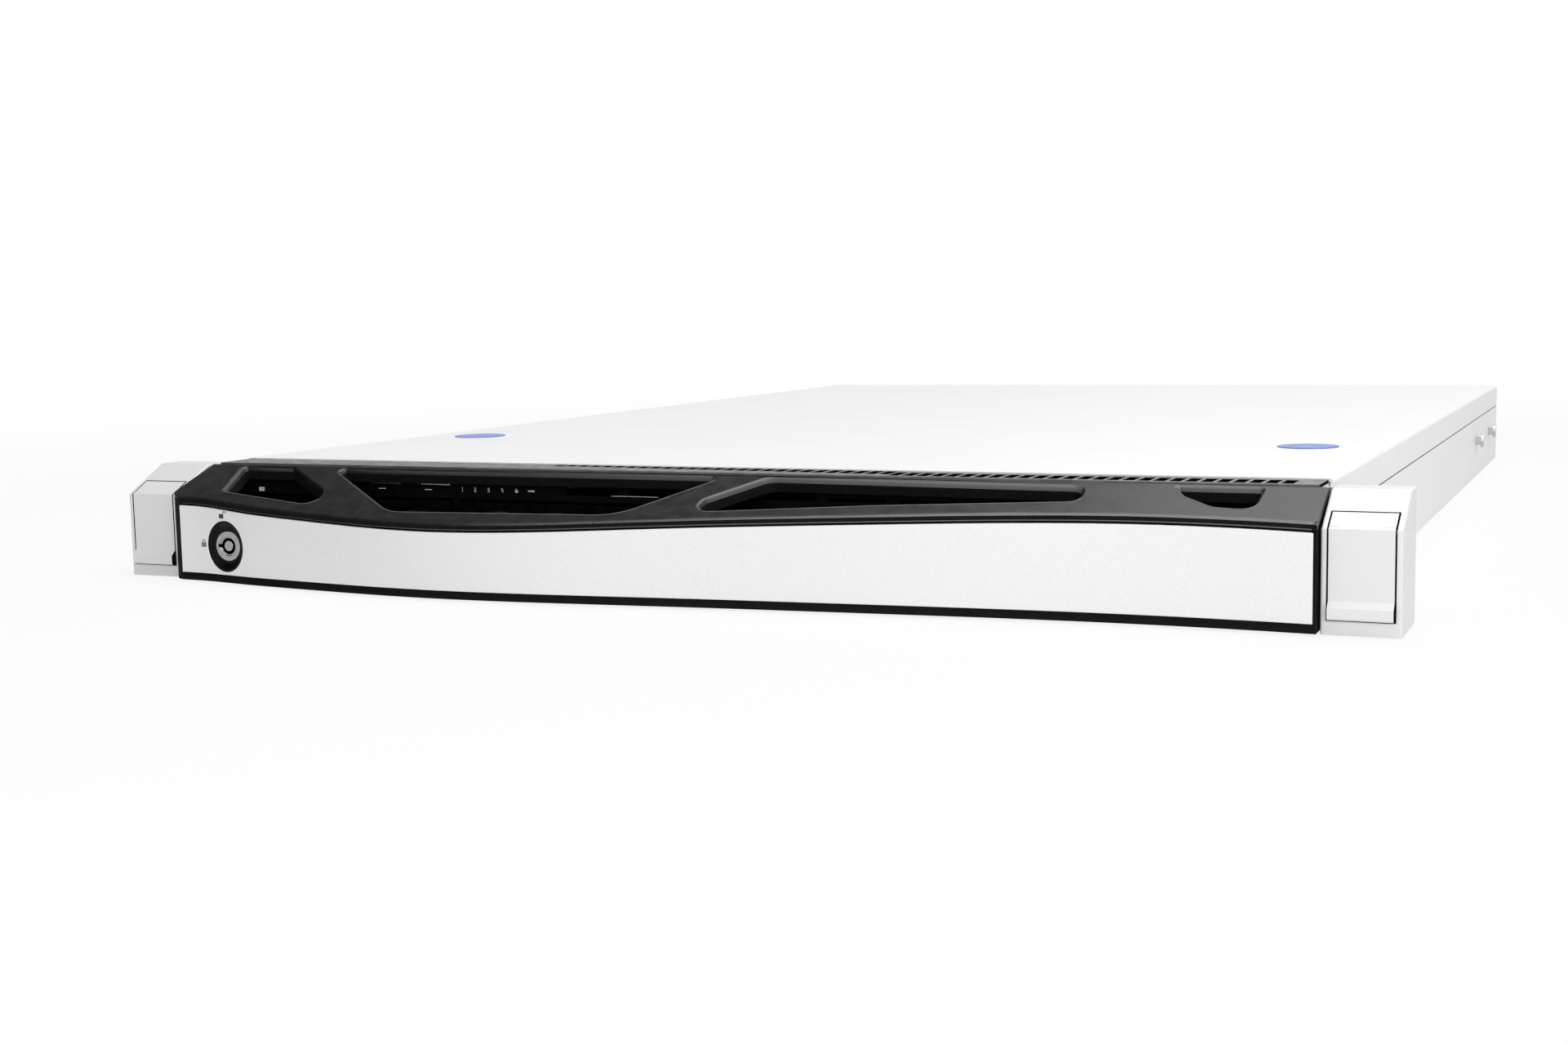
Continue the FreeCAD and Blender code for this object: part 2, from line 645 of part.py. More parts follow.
def lock_sleeve():
    """The black ring round the lock: a recess with a collar behind the wall."""
    front = lock_front()
    back = front + LOCK_SEAT
    ring = rod_y(LOCK_RING_RADIUS, LOCK_X, LOCK_HEIGHT, front - 4, back)
    ring = ring.common(behind_lock_front(back))
    collar = sided_bar(LOCK_SIDES, LOCK_RING_RADIUS + LOCK_COLLAR, LOCK_X, LOCK_HEIGHT, back,
                       back + LOCK_FLANGE)
    recess = rod_y(LOCK_RING_RADIUS - LOCK_RING_RIM, LOCK_X, LOCK_HEIGHT, front - 4,
                   front + LOCK_RING_DEPTH)
    bore = rod_y(LOCK_BARREL_RADIUS, LOCK_X, LOCK_HEIGHT, front - 4, back + 5)
    return ring.fuse(collar).cut(recess).cut(bore)


def lock_face_y():
    return lock_front() + LOCK_RING_DEPTH - LOCK_FACE_PROUD


def lock_barrel():
    """The fixed silver barrel with the bore that the core turns in."""
    start = lock_face_y()
    barrel = rod_y(LOCK_BARREL_RADIUS, LOCK_X, LOCK_HEIGHT, start, start + LOCK_BARREL_LENGTH)
    bore = rod_y(LOCK_CORE_RADIUS + LOCK_PLAY, LOCK_X, LOCK_HEIGHT,
                 start - 1, start + LOCK_BARREL_LENGTH + 1)
    half = LOCK_NOTCH / 2
    outer = LOCK_CORE_RADIUS + LOCK_NOTCH
    notch = slab(LOCK_X - outer, LOCK_X, start - 1, start + LOCK_SLOT_DEPTH,
                 LOCK_HEIGHT - half, LOCK_HEIGHT + half)
    return barrel.cut(bore).cut(notch)


def lock_core():
    """The turning core: a tube round a post, with the key slot between, and a tail."""
    start = lock_face_y() + LOCK_CORE_SET_BACK
    tail = lock_face_y() + LOCK_BARREL_LENGTH
    core = rod_y(LOCK_CORE_RADIUS, LOCK_X, LOCK_HEIGHT, start, tail + LOCK_PLAY)
    slot = rod_y(LOCK_SLOT_RADIUS, LOCK_X, LOCK_HEIGHT, start - 1, start + LOCK_SLOT_DEPTH)
    slot = slot.cut(rod_y(LOCK_POST_RADIUS, LOCK_X, LOCK_HEIGHT, start - 1,
                          start + LOCK_SLOT_DEPTH))
    half = LOCK_NOTCH / 2
    notch = slab(LOCK_X - LOCK_CORE_RADIUS - 1, LOCK_X - LOCK_POST_RADIUS, start - 1,
                 start + LOCK_SLOT_DEPTH, LOCK_HEIGHT - half, LOCK_HEIGHT + half)
    return core.cut(slot).cut(notch).fuse(cam_stem())


def cam_stem():
    """The square stem on the core's tail that turns the cam."""
    tail = lock_face_y() + LOCK_BARREL_LENGTH
    return slab(LOCK_X - CAM_STEM, LOCK_X + CAM_STEM, tail, tail + CAM_GAP + CAM_THICKNESS,
                LOCK_HEIGHT - CAM_STEM, LOCK_HEIGHT + CAM_STEM)


def lock_nut():
    """The hexagon nut that clamps the barrel behind the sleeve."""
    start = lock_front() + LOCK_SEAT + LOCK_FLANGE
    nut = sided_bar(6, LOCK_NUT_FLATS / math.sqrt(3), LOCK_X, LOCK_HEIGHT, start,
                    start + LOCK_NUT_THICKNESS)
    bore = LOCK_BARREL_RADIUS / math.cos(math.pi / LOCK_SIDES)
    return nut.cut(sided_bar(LOCK_SIDES, bore, LOCK_X, LOCK_HEIGHT, start - 1,
                              start + LOCK_NUT_THICKNESS + 1))


def lock_cam():
    """The cam: a bar with a round end on the core's stem, pointing left when locked."""
    start = lock_face_y() + LOCK_BARREL_LENGTH + CAM_GAP
    end = start + CAM_THICKNESS
    half = CAM_WIDTH / 2
    bar = slab(LOCK_X - CAM_LENGTH, LOCK_X, start, end, LOCK_HEIGHT - half, LOCK_HEIGHT + half)
    hub = sided_bar(LOCK_SIDES, CAM_HUB, LOCK_X, LOCK_HEIGHT, start, end)
    return bar.fuse(hub).cut(cam_stem())


# ---- ears -----------------------------------------------------------------------
def ear_slope(set_back):
    """Height of the ear's sloping brow at a set back."""
    share = min(set_back / EAR_SLOPE_RUN, 1.0)
    return EAR_BROW + (EAR_TOP - EAR_BROW) * share


def ear_outline(wall):
    """The ear's side view, drawn in by a wall and open towards the rear if there is one."""
    crest = FRONT + EAR_SLOPE_RUN + wall * math.tan(EAR_ANGLE / 2)
    rear = -FLANGE + wall
    return [(FRONT + wall, wall), (FRONT + wall, EAR_BROW - wall * BROW_FACTOR),
            (crest, EAR_TOP - wall), (rear, EAR_TOP - wall), (rear, wall)]


def flap_inner_x():
    return EAR_INNER + FLAP_MARGIN


def flap_outer_x():
    return HALF_PANEL - FLAP_MARGIN


def flap_pin(radius, x0, x1):
    """The thin hinge pin, or the bore round it, with equal flats."""
    return side_prism(flats(PIN_SIDES, radius, FRONT + PIN_SET_BACK, PIN_HEIGHT), x0, x1)


def ear_housing():
    """The right plastic ear: a hollow moulding with the flap's window in its face."""
    body = side_prism(ear_outline(0), EAR_INNER, HALF_PANEL)
    rounded = [edge for edge in body.Edges if on_ear_rim(edge)]
    body = body.makeFillet(EAR_EDGE_RADIUS, rounded)
    left = EAR_INNER + EAR_WALL
    right = HALF_PANEL - EAR_WALL
    body = body.cut(side_prism(ear_outline(EAR_WALL), left, right))
    low = FLAP_BOTTOM - FLAP_GAP
    body = body.cut(slab(left, right, FRONT - 1, FRONT + EAR_WALL + 1, low, EAR_BROW))
    top = FRONT + FLAP_TOP_SET_BACK + FLAP_GAP
    body = body.cut(slab(left, right, FRONT - 1, top, PIN_HEIGHT, EAR_TOP))
    tip = Vector(0, FLAP_TOP_SET_BACK - PIN_SET_BACK, ear_slope(FLAP_TOP_SET_BACK) - PIN_HEIGHT)
    body = body.cut(flap_pin(tip.Length + FLAP_SWING_PLAY, left, right))
    return body.cut(flap_pin(PIN_RADIUS, EAR_INNER + PIN_END_GAP, HALF_PANEL + 1))


def on_ear_rim(edge):
    """True for the long outside edges of the ear's front, slope and top."""
    box = edge.BoundBox
    along_side = box.XLength < 0.01
    return along_side and box.YMin < -FLANGE - 0.5 and box.ZMax > 1


def ear_flap():
    """The right flap: a bent skin with a lifting lip and two pin lugs."""
    top = FRONT + FLAP_TOP_SET_BACK
    top_z = ear_slope(FLAP_TOP_SET_BACK)
    inner_top = (top + FLAP_SKIN * math.sin(EAR_ANGLE), top_z - FLAP_SKIN * math.cos(EAR_ANGLE))
    inner_bend = (FRONT + FLAP_SKIN, EAR_BROW - FLAP_SKIN * BROW_FACTOR)
    lip_top = FLAP_BOTTOM + FLAP_LIP_HEIGHT
    lip = FRONT - FLAP_LIP_REACH
    outline = [(FRONT, lip_top + FLAP_LIP_RISE), (FRONT, EAR_BROW), (top, top_z), inner_top,
               inner_bend, (FRONT + FLAP_SKIN, FLAP_BOTTOM), (lip + FLAP_LIP_BEVEL, FLAP_BOTTOM),
               (lip, FLAP_BOTTOM + FLAP_LIP_BEVEL), (lip, lip_top - FLAP_LIP_FALL)]
    left = flap_inner_x()
    right = flap_outer_x()
    skin = side_prism(outline, left, right)
    for start in (left, right - KNUCKLE_LENGTH):
        skin = skin.fuse(pin_lug(start, start + KNUCKLE_LENGTH))
    skin = skin.cut(flap_pin(PIN_RADIUS + PIN_PLAY, left - 1, right + 1))
    return skin.removeSplitter()


def pin_lug(x0, x1):
    """A lug inside the flap that the pin runs through, square to the upright skin."""
    y = FRONT + PIN_SET_BACK
    return slab(x0, x1, FRONT + FLAP_SKIN / 2, y + KNUCKLE_RADIUS, PIN_HEIGHT - KNUCKLE_RADIUS,
                PIN_HEIGHT + KNUCKLE_RADIUS)


def flap_pins():
    return both_sides(flap_pin(PIN_RADIUS, EAR_INNER + PIN_END_GAP, HALF_PANEL - PIN_END_GAP))


def rack_x():
    return HALF_PANEL - RACK_HOLE_FROM_SIDE


def ear_bracket():
    """The right steel bracket: rack flange, and the leg pressed onto the stepped-in side."""
    flange = slab(STEPPED_HALF, HALF_PANEL - FLANGE_MARGIN, -FLANGE, 0,
                  FLANGE_MARGIN, EAR_TOP - FLANGE_MARGIN)
    leg = slab(STEPPED_HALF, HALF_CHASSIS, -FLANGE, BRACKET_LEG, LEG_LOW, LEG_HIGH)
    bracket = flange.fuse(leg)
    hole = RACK_SCREW_RADIUS + SCREW_PLAY
    bracket = bracket.cut(rod_y(hole, rack_x(), RACK_HOLE_HEIGHT, -FLANGE - 1, 1))
    return bracket


def knob_outline():
    """The knob's grips seen from the front: flat-topped teeth round a circle."""
    corners = []
    for i in range(4 * KNOB_GRIPS):
        angle = 2 * math.pi * i / (4 * KNOB_GRIPS)
        radius = RACK_KNOB_RADIUS - (KNOB_GRIP_DEPTH if i % 4 > 1 else 0)
        corners.append((rack_x() + radius * math.cos(angle),
                        RACK_HOLE_HEIGHT + radius * math.sin(angle)))
    return corners


def rack_screw():
    """The right rack thumbscrew: gripped knob with a cross recess, neck and thread."""
    back = -FLANGE - SCREW_END_GAP
    front = back - RACK_KNOB_LENGTH
    knob = front_prism(knob_outline(), front, back)
    for turned in (0, 90):
        bar = slab(-CROSS_LENGTH, CROSS_LENGTH, front - 1, front + CROSS_DEPTH,
                   -CROSS_WIDTH, CROSS_WIDTH)
        bar.rotate(Vector(0, 0, 0), Vector(0, 1, 0), turned)
        bar.translate(Vector(rack_x(), 0, RACK_HOLE_HEIGHT))
        knob = knob.cut(bar)
    thread = rod_y(RACK_SCREW_RADIUS, rack_x(), RACK_HOLE_HEIGHT, SCREW_END_GAP,
                   RACK_SCREW_REACH)
    neck = rod_y(RACK_SCREW_NECK, rack_x(), RACK_HOLE_HEIGHT, back, SCREW_END_GAP)
    return knob.fuse(neck).fuse(thread)


# ---- chassis pan ----------------------------------------------------------------
def rail_stud(set_in):
    """A headed stud on the right side of the chassis, a distance from the rear."""
    y = PAN_REAR - RAIL_STUD_TO_REAR - set_in
    foot = Vector(HALF_CHASSIS, y, RAIL_STUD_HEIGHT)
    shoulder = Vector(HALF_CHASSIS + RAIL_STUD_NECK, y, RAIL_STUD_HEIGHT)
    half = RAIL_STUD_RADIUS
    neck = slab(foot.x, shoulder.x, y - half, y + half, foot.z - half, foot.z + half)
    head = side_prism(flats(RAIL_STUD_SIDES, RAIL_STUD_HEAD, y, RAIL_STUD_HEIGHT),
                      shoulder.x, shoulder.x + RAIL_STUD_CAP)
    return neck.fuse(head)


def right_rail_studs():
    return [rail_stud(0), rail_stud(RAIL_STUD_SPACING)]


def pan_section(front_zone):
    """Half of the pan's cross section, from the middle of the floor up the right side."""
    outer = STEPPED_HALF if front_zone else HALF_CHASSIS
    foot = [(0, 0), (outer, 0)]
    if not front_zone:
        foot += [(HALF_CHASSIS, STEP_HEIGHT), (STEPPED_HALF, STEP_HEIGHT)]
    top = [(STEPPED_HALF, PAN_TOP), (INNER_HALF, PAN_TOP)]
    inner = outer - SHEET
    back_down = [(inner, SHEET), (0, SHEET)]
    if not front_zone:
        back_down = [(INNER_HALF, STEP_HEIGHT - SHEET), (inner, STEP_HEIGHT - SHEET)] + back_down
    return foot + top + back_down


def chassis_pan():
    """Floor and sides in one bent sheet; the sides step in under the cover's flanges."""
    half = front_prism(pan_section(True), PAN_FRONT, LEG_ZONE)
    half = half.fuse(front_prism(pan_section(False), LEG_ZONE, PAN_REAR))
    half = half.fuse(slab(INNER_HALF, HALF_CHASSIS, LEG_ZONE - SHEET, LEG_ZONE, 0, STEP_HEIGHT))
    return half.fuse(other_side(half)).removeSplitter()


# ---- top ------------------------------------------------------------------------
def top_cover():
    """The sliding cover: a flat sheet with bent side flanges."""
    outer = slab(-HALF_CHASSIS, HALF_CHASSIS, COVER_FRONT, PAN_REAR,
                 CHASSIS_HEIGHT - COVER_FLANGE, CHASSIS_HEIGHT)
    bends = [edge for edge in outer.Edges if edge.BoundBox.YLength > 1
             and edge.BoundBox.ZMin > CHASSIS_HEIGHT - 0.01]
    outer = outer.makeFillet(COVER_BEND, bends)
    inner_half = HALF_CHASSIS - SHEET
    inner = slab(-inner_half, inner_half, COVER_FRONT - 1, PAN_REAR + 1, 0,
                 CHASSIS_HEIGHT - SHEET)
    return outer.cut(inner)


def push_pads():
    """Two thin round pads on the cover that show where to push it open."""
    foot = Vector(HALF_CHASSIS - PAD_FROM_SIDE, FRONT + PAD_SET_BACK, CHASSIS_HEIGHT)
    return both_sides(rod(PAD_RADIUS, foot, foot + Vector(0, 0, PAD_THICKNESS)))


def strip_slot(index):
    """One air slot of the front top strip."""
    x = SLOT_FIRST + SLOT_PITCH * index
    if x < SLOT_BREAK:
        share = (x - SLOT_FIRST) / (SLOT_BREAK - SLOT_FIRST)
        start = LONG_SLOT_START + (LONG_SLOT_END - LONG_SLOT_START) * share
        end = COVER_SET_BACK - STRIP_GAP - SLOT_REAR_MARGIN
    else:
        start = SHORT_SLOT_START
        end = SHORT_SLOT_REAR
    return slab(x, x + SLOT_WIDTH, FRONT + start, FRONT + end, PAN_TOP - 2, CHASSIS_HEIGHT)


def front_top_strip():
    """The fixed strip between bezel and cover, with its slots and a lap under the cover."""
    start = BEZEL_BACK + STRIP_GAP
    end = COVER_FRONT - STRIP_GAP
    strip = slab(-STEPPED_HALF, STEPPED_HALF, start, end, PAN_TOP, PAN_TOP + STRIP_SHEET)
    lap_half = INNER_HALF - TOP_PLAY
    lap = slab(-lap_half, lap_half, end - STRIP_LAP_JOIN, end + STRIP_LAP,
               PAN_TOP - STRIP_LAP_SHEET, PAN_TOP)
    strip = strip.fuse(lap)
    run = STEPPED_HALF - SLOT_END_MARGIN - SLOT_FIRST
    slots = [strip_slot(i) for i in range(int(run / SLOT_PITCH))]
    return strip.cut(Part.makeCompound(slots))


# ---- control strip --------------------------------------------------------------
def usb_space(x, play):
    half = USB_WIDTH / 2 + play
    return slab(x - half, x + half, CONTROL_Y - USB_PROUD, CONTROL_Y + USB_LENGTH,
                USB_BOTTOM - play, USB_BOTTOM + USB_HEIGHT + play)


def usb_shell(x):
    """A folded metal port shell, open at its mouth."""
    inside = slab(x - USB_WIDTH / 2 + USB_WALL, x + USB_WIDTH / 2 - USB_WALL,
                  CONTROL_Y - USB_PROUD - 1, CONTROL_Y + USB_LENGTH - USB_WALL,
                  USB_BOTTOM + USB_WALL, USB_BOTTOM + USB_HEIGHT - USB_WALL)
    return usb_space(x, 0).cut(inside)


def usb_tongue(x):
    """The plastic tongue, hung near the port's upper wall."""
    top = USB_BOTTOM + USB_HEIGHT - USB_WALL - TONGUE_DROP
    half = TONGUE_WIDTH / 2
    return slab(x - half, x + half, CONTROL_Y + USB_PROUD, CONTROL_Y + USB_LENGTH - USB_WALL,
                top - TONGUE_THICKNESS, top)


def status_lens(index):
    x = LENS_FIRST + LENS_PITCH * index
    half = LENS_WIDTH / 2
    return slab(x - half, x + half, CONTROL_Y - LENS_PROUD, CONTROL_Y + LENS_LENGTH,
                LENS_BOTTOM, LENS_BOTTOM + LENS_HEIGHT)


def power_button(play):
    """The power button's cap and stem; with play, the space it moves in."""
    half = POWER_WIDTH / 2 + play
    tall = POWER_TALL / 2 + play
    return slab(POWER_X - half, POWER_X + half, CONTROL_Y - BUTTON_PROUD,
                CONTROL_Y + BUTTON_STEM, POWER_HEIGHT - tall, POWER_HEIGHT + tall)


def reset_button(play):
    return rod_y(RESET_RADIUS + play, RESET_X, RESET_HEIGHT,
                 CONTROL_Y - BUTTON_PROUD / 2, CONTROL_Y + BUTTON_STEM)


def button_switches():
    """The two small switches that the button stems press on."""
    start = CONTROL_Y + BUTTON_STEM + BUTTON_TRAVEL + BUTTON_PLAY
    half = SWITCH_SIZE / 2
    top = CAGE_TOP + CAGE_SHEET + SWITCH_SIZE
    return [slab(x - half, x + half, start, start + SWITCH_SIZE, CAGE_TOP + CAGE_SHEET, top)
            for x in (POWER_X, RESET_X)]


def control_strip():
    """The dark strip above the drives with its port, lamp and button windows."""
    half = INNER_HALF - BUTTON_PLAY
    strip = slab(-half, half, CONTROL_Y, CONTROL_Y + CONTROL_THICKNESS, CONTROL_BOTTOM,
                 PAN_TOP)
    for x in USB_PLACES:
        strip = strip.cut(usb_space(x, 0))
    for i in range(LENS_COUNT):
        strip = strip.cut(status_lens(i))
    run = half - STRIP_VENT_MARGIN - STRIP_VENT_FIRST
    for i in range(int(run / STRIP_VENT_PITCH)):
        x = STRIP_VENT_FIRST + STRIP_VENT_PITCH * i
        strip = strip.cut(slab(x, x + STRIP_VENT_WIDTH, CONTROL_Y - 1, CONTROL_Y + 3,
                               CONTROL_BOTTOM + STRIP_VENT_RIM, PAN_TOP - STRIP_VENT_RIM))
    return strip.cut(power_button(BUTTON_PLAY)).cut(reset_button(BUTTON_PLAY))


def control_board():
    """The small circuit board that carries ports and lamps."""
    start = CONTROL_Y + CONTROL_THICKNESS
    left = USB_PLACES[0] - USB_WIDTH
    right = LENS_FIRST + LENS_PITCH * LENS_COUNT + LENS_WIDTH
    return slab(left, right, start, start + CONTROL_BOARD_DEPTH, USB_BOTTOM - BOARD_SHEET,
                USB_BOTTOM)


# ---- drive bays -----------------------------------------------------------------
def bay_left(bay):
    """The left face of a drive bay's free width."""
    return -INNER_HALF + BAY_PITCH * bay + CAGE_SHEET


def bay_width():
    return BAY_PITCH - CAGE_SHEET


def drive_cage():
    """Top sheet and dividers of the four drive bays."""
    start = CONTROL_Y + CONTROL_THICKNESS
    end = BACKPLANE_Y
    cage = slab(-INNER_HALF, INNER_HALF, start, end, CAGE_TOP, CAGE_TOP + CAGE_SHEET)
    for i in range(BAYS + 1):
        x = -INNER_HALF + BAY_PITCH * i
        cage = cage.fuse(slab(x, x + CAGE_SHEET, start, end, SHEET, CAGE_TOP))
    return cage.removeSplitter()


def drive_tray(bay):
    """A tray: vented face, floor and two low sides round the drive."""
    left = bay_left(bay) + TRAY_PLAY
    right = bay_left(bay) + bay_width() - TRAY_PLAY
    low = SHEET + TRAY_FLOOR_GAP
    rear = DRIVE_Y + DRIVE_LENGTH - SOCKET_LENGTH
    top = CAGE_TOP - TRAY_FLOOR_GAP
    face = slab(left, right, TRAY_Y, TRAY_Y + TRAY_FACE, low, top)
    pitch = (right - left - 2 * LEVER_MARGIN) / TRAY_VENTS
    for i in range(TRAY_VENTS):
        x = left + LEVER_MARGIN + pitch * (i + (1 - TRAY_VENT_SHARE) / 2)
        face = face.cut(slab(x, x + pitch * TRAY_VENT_SHARE, TRAY_Y - 1, TRAY_Y + TRAY_FACE + 1,
                             top - TRAY_VENT_RIM - TRAY_VENT_HEIGHT, top - TRAY_VENT_RIM))
    floor = slab(left, right, TRAY_Y + TRAY_FACE, rear, low, low + TRAY_SHEET)
    sides = [slab(x, x + TRAY_SHEET, TRAY_Y + TRAY_FACE, rear, low, low + TRAY_SIDE)
             for x in (left, right - TRAY_SHEET)]
    return face.fuse([floor] + sides).removeSplitter()


def tray_lever(bay):
    """The bar across a tray's face that unlatches it: bowed, with a thumb end."""
    left = bay_left(bay) + TRAY_PLAY + LEVER_MARGIN
    right = bay_left(bay) + bay_width() - TRAY_PLAY - LEVER_MARGIN
    low = SHEET + LEVER_MARGIN
    front = TRAY_Y - LEVER_THICKNESS
    middle = (left + right) / 2
    bow = Part.Arc(Vector(left, TRAY_Y, low), Vector(middle, front, low),
                   Vector(right, TRAY_Y, low)).toShape()
    chord = Part.makeLine(Vector(right, TRAY_Y, low), Vector(left, TRAY_Y, low))
    bar = Part.Face(Part.Wire([bow, chord])).extrude(Vector(0, 0, LEVER_HEIGHT))
    thumb = slab(right - LEVER_HEIGHT, right, front, TRAY_Y, low, low + LEVER_HEIGHT)
    return bar.fuse(thumb)


def hard_drive(bay):
    """A drive of the standard 3.5 inch outline with its chamfered long edges."""
    middle = bay_left(bay) + bay_width() / 2
    half = bay_width() / 2 - TRAY_PLAY - TRAY_SHEET - DRIVE_SIDE_PLAY
    low = SHEET + TRAY_FLOOR_GAP + TRAY_SHEET
    top = low + DRIVE_HEIGHT
    corner = DRIVE_CHAMFER
    outline = [(middle - half, low), (middle + half, low), (middle + half, top - corner),
               (middle + half - corner, top), (middle - half + corner, top),
               (middle - half, top - corner)]
    return front_prism(outline, DRIVE_Y, DRIVE_Y + DRIVE_LENGTH)


def drive_socket(bay):
    middle = bay_left(bay) + bay_width() / 2
    low = SHEET + TRAY_FLOOR_GAP + TRAY_SHEET + TRAY_SHEET
    return slab(middle - SOCKET_WIDTH / 2, middle + SOCKET_WIDTH / 2, BACKPLANE_Y - SOCKET_LENGTH,
                BACKPLANE_Y, low, low + SOCKET_HEIGHT)


def backplane():
    """The upright board behind the drives, with two air windows for each bay."""
    half = INNER_HALF - TRAY_PLAY
    board = slab(-half, half, BACKPLANE_Y, BACKPLANE_Y + BOARD_SHEET, SHEET,
                 PAN_TOP - BACKPLANE_TOP_GAP)
    for bay in range(BAYS):
        middle = bay_left(bay) + bay_width() / 2
        for side in (-1, 1):
            x = middle + side * bay_width() / 4
            window = bay_width() / 4 - LEVER_MARGIN
            board = board.cut(slab(x - window, x + window, BACKPLANE_Y - 1, BACKPLANE_Y + 3,
                                   SHEET + SOCKET_HEIGHT + LEVER_MARGIN, CAGE_TOP - LEVER_MARGIN))
    return board


# ---- fans -----------------------------------------------------------------------
def fan_x(index):
    """Middle of a fan, the row spread evenly over the chassis."""
    return (index - (FANS - 1) / 2) * (2 * INNER_HALF / FANS)


def fan_wall():
    """The sheet wall the fans hang on, with an air window for each and a foot."""
    half = INNER_HALF - TRAY_PLAY
    wall = slab(-half, half, FAN_Y - SHEET, FAN_Y, SHEET, PAN_TOP - BACKPLANE_TOP_GAP)
    wall = wall.fuse(slab(-half, half, FAN_Y - FAN_FOOT, FAN_Y, SHEET, 2 * SHEET))
    half = FAN_SIZE / 2 - FAN_WALL_RIM
    for i in range(FANS):
        wall = wall.cut(slab(fan_x(i) - half, fan_x(i) + half, FAN_Y - SHEET - 1, FAN_Y + 1,
                             FAN_HEIGHT - half, FAN_HEIGHT + half))
    return wall


def fan_frame(x, y, z):
    """A square fan frame with its round duct and, at its rear, the motor mount on arms."""
    half = FAN_SIZE / 2
    frame = slab(x - half, x + half, y, y + FAN_DEPTH, z - half, z + half)
    frame = frame.cut(sided_bar(FAN_SIDES, FAN_BORE / 2, x, z, y - 1, y + FAN_DEPTH + 1))
    rear = y + FAN_DEPTH
    mount = sided_bar(HUB_SIDES, FAN_HUB / 2, x, z, rear - FAN_MOUNT, rear)
    for turn in FAN_ARM_ANGLES:
        arm = slab(0, FAN_BORE / 2 + 1, rear - FAN_MOUNT, rear, -FAN_ARM / 2, FAN_ARM / 2)
        arm.rotate(Vector(0, 0, 0), Vector(0, 1, 0), turn)
        arm.translate(Vector(x, 0, z))
        mount = mount.fuse(arm)
    return frame.fuse(mount).removeSplitter()


def fan_blade():
    """One blade on a hub at the origin, standing up: a pitched plate, wider at its tip."""
    chord = FAN_BLADE_CHORD / 2
    thick = FAN_BLADE_THICKNESS
    root = FAN_HUB / 2 - 1
    reach = FAN_BORE / 2 * math.cos(math.pi / FAN_SIDES) - FAN_BLADE_PLAY
    tip = math.sqrt(reach ** 2 - (chord * math.sin(math.radians(FAN_BLADE_PITCH))) ** 2)
    outline = [(-chord * FAN_BLADE_ROOT, root), (chord * FAN_BLADE_ROOT, root), (chord, tip),
               (-chord, tip)]
    blade = side_prism(outline, -thick / 2, thick / 2)
    blade.rotate(Vector(0, 0, 0), Vector(0, 0, 1), FAN_BLADE_PITCH)
    return blade


def fan_rotor(x, y, z):
    """The hub, which holds the motor, and its pitched blades."""
    start = y + FAN_ROTOR_FRONT
    end = y + FAN_DEPTH - FAN_MOUNT - FAN_ROTOR_GAP
    rotor = sided_bar(HUB_SIDES, FAN_HUB / 2, 0, 0, start - y, end - y)
    middle = (start + end) / 2 - y
    blades = []
    for i in range(FAN_BLADES):
        blade = fan_blade()
        blade.translate(Vector(0, middle, 0))
        blade.rotate(Vector(0, 0, 0), Vector(0, 1, 0), 360.0 * i / FAN_BLADES)
        blades.append(blade)
    rotor = rotor.fuse(blades)
    rotor.translate(Vector(x, y, z))
    return rotor


# ---- main board -----------------------------------------------------------------
def motherboard():
    board = slab(BOARD_X, BOARD_X + BOARD_WIDTH, BOARD_Y, BOARD_Y + BOARD_DEPTH,
                 BOARD_Z, BOARD_TOP)
    return board


def board_standoffs():
    """Nine hexagonal standoffs in a grid under the board."""
    inset = STANDOFF_INSET
    feet = []
    for across in (inset, BOARD_WIDTH / 2, BOARD_WIDTH - inset):
        for along in (inset, BOARD_DEPTH / 2, BOARD_DEPTH - inset):
            outline = flats(6, STANDOFF_CORNER, BOARD_X + across, BOARD_Y + along)
            corners = [Vector(x, y, SHEET) for x, y in outline]
            feet.append(prism(corners, Vector(0, 0, BOARD_Z - SHEET)))
    return feet


def cpu_socket(place):
    x = BOARD_X + place + SINK_WIDTH / 2 - CPU_SOCKET / 2
    y = BOARD_Y + SINK_FRONT_GAP + SINK_DEPTH / 2 - CPU_SOCKET / 2
    return slab(x, x + CPU_SOCKET, y, y + CPU_SOCKET, BOARD_TOP, BOARD_TOP + CPU_SOCKET_HEIGHT)


def heatsink(place):
    """A comb of thin fins on a solid base, drawn as one profile."""
    left = BOARD_X + place
    low = BOARD_TOP + CPU_SOCKET_HEIGHT
    top = low + SINK_HEIGHT
    pitch = (SINK_WIDTH - SINK_FIN) / (SINK_FINS - 1)
    outline = [(left, low), (left + SINK_WIDTH, low)]
    for i in reversed(range(SINK_FINS)):
        x = left + pitch * i
        outline += [(x + SINK_FIN, top), (x, top)]
        if i > 0:
            outline += [(x, low + SINK_BASE), (x - pitch + SINK_FIN, low + SINK_BASE)]
    start = BOARD_Y + SINK_FRONT_GAP
    return front_prism(outline, start, start + SINK_DEPTH)


def memory_x(index):
    """Middle of a memory stick; the bank stands midway between the heatsinks."""
    middle = BOARD_X + SINK_PLACES[1] - SINK_SPACE / 2
    return middle + MEMORY_PITCH * (index - (MEMORY_STICKS - 1) / 2)


def memory_stick(index):
    x = memory_x(index)
    start = BOARD_Y + MEMORY_FRONT_GAP
    return slab(x - MEMORY_THICKNESS / 2, x + MEMORY_THICKNESS / 2, start, start + MEMORY_LENGTH,
                BOARD_TOP + MEMORY_SOCKET_HEIGHT, BOARD_TOP + MEMORY_HEIGHT)


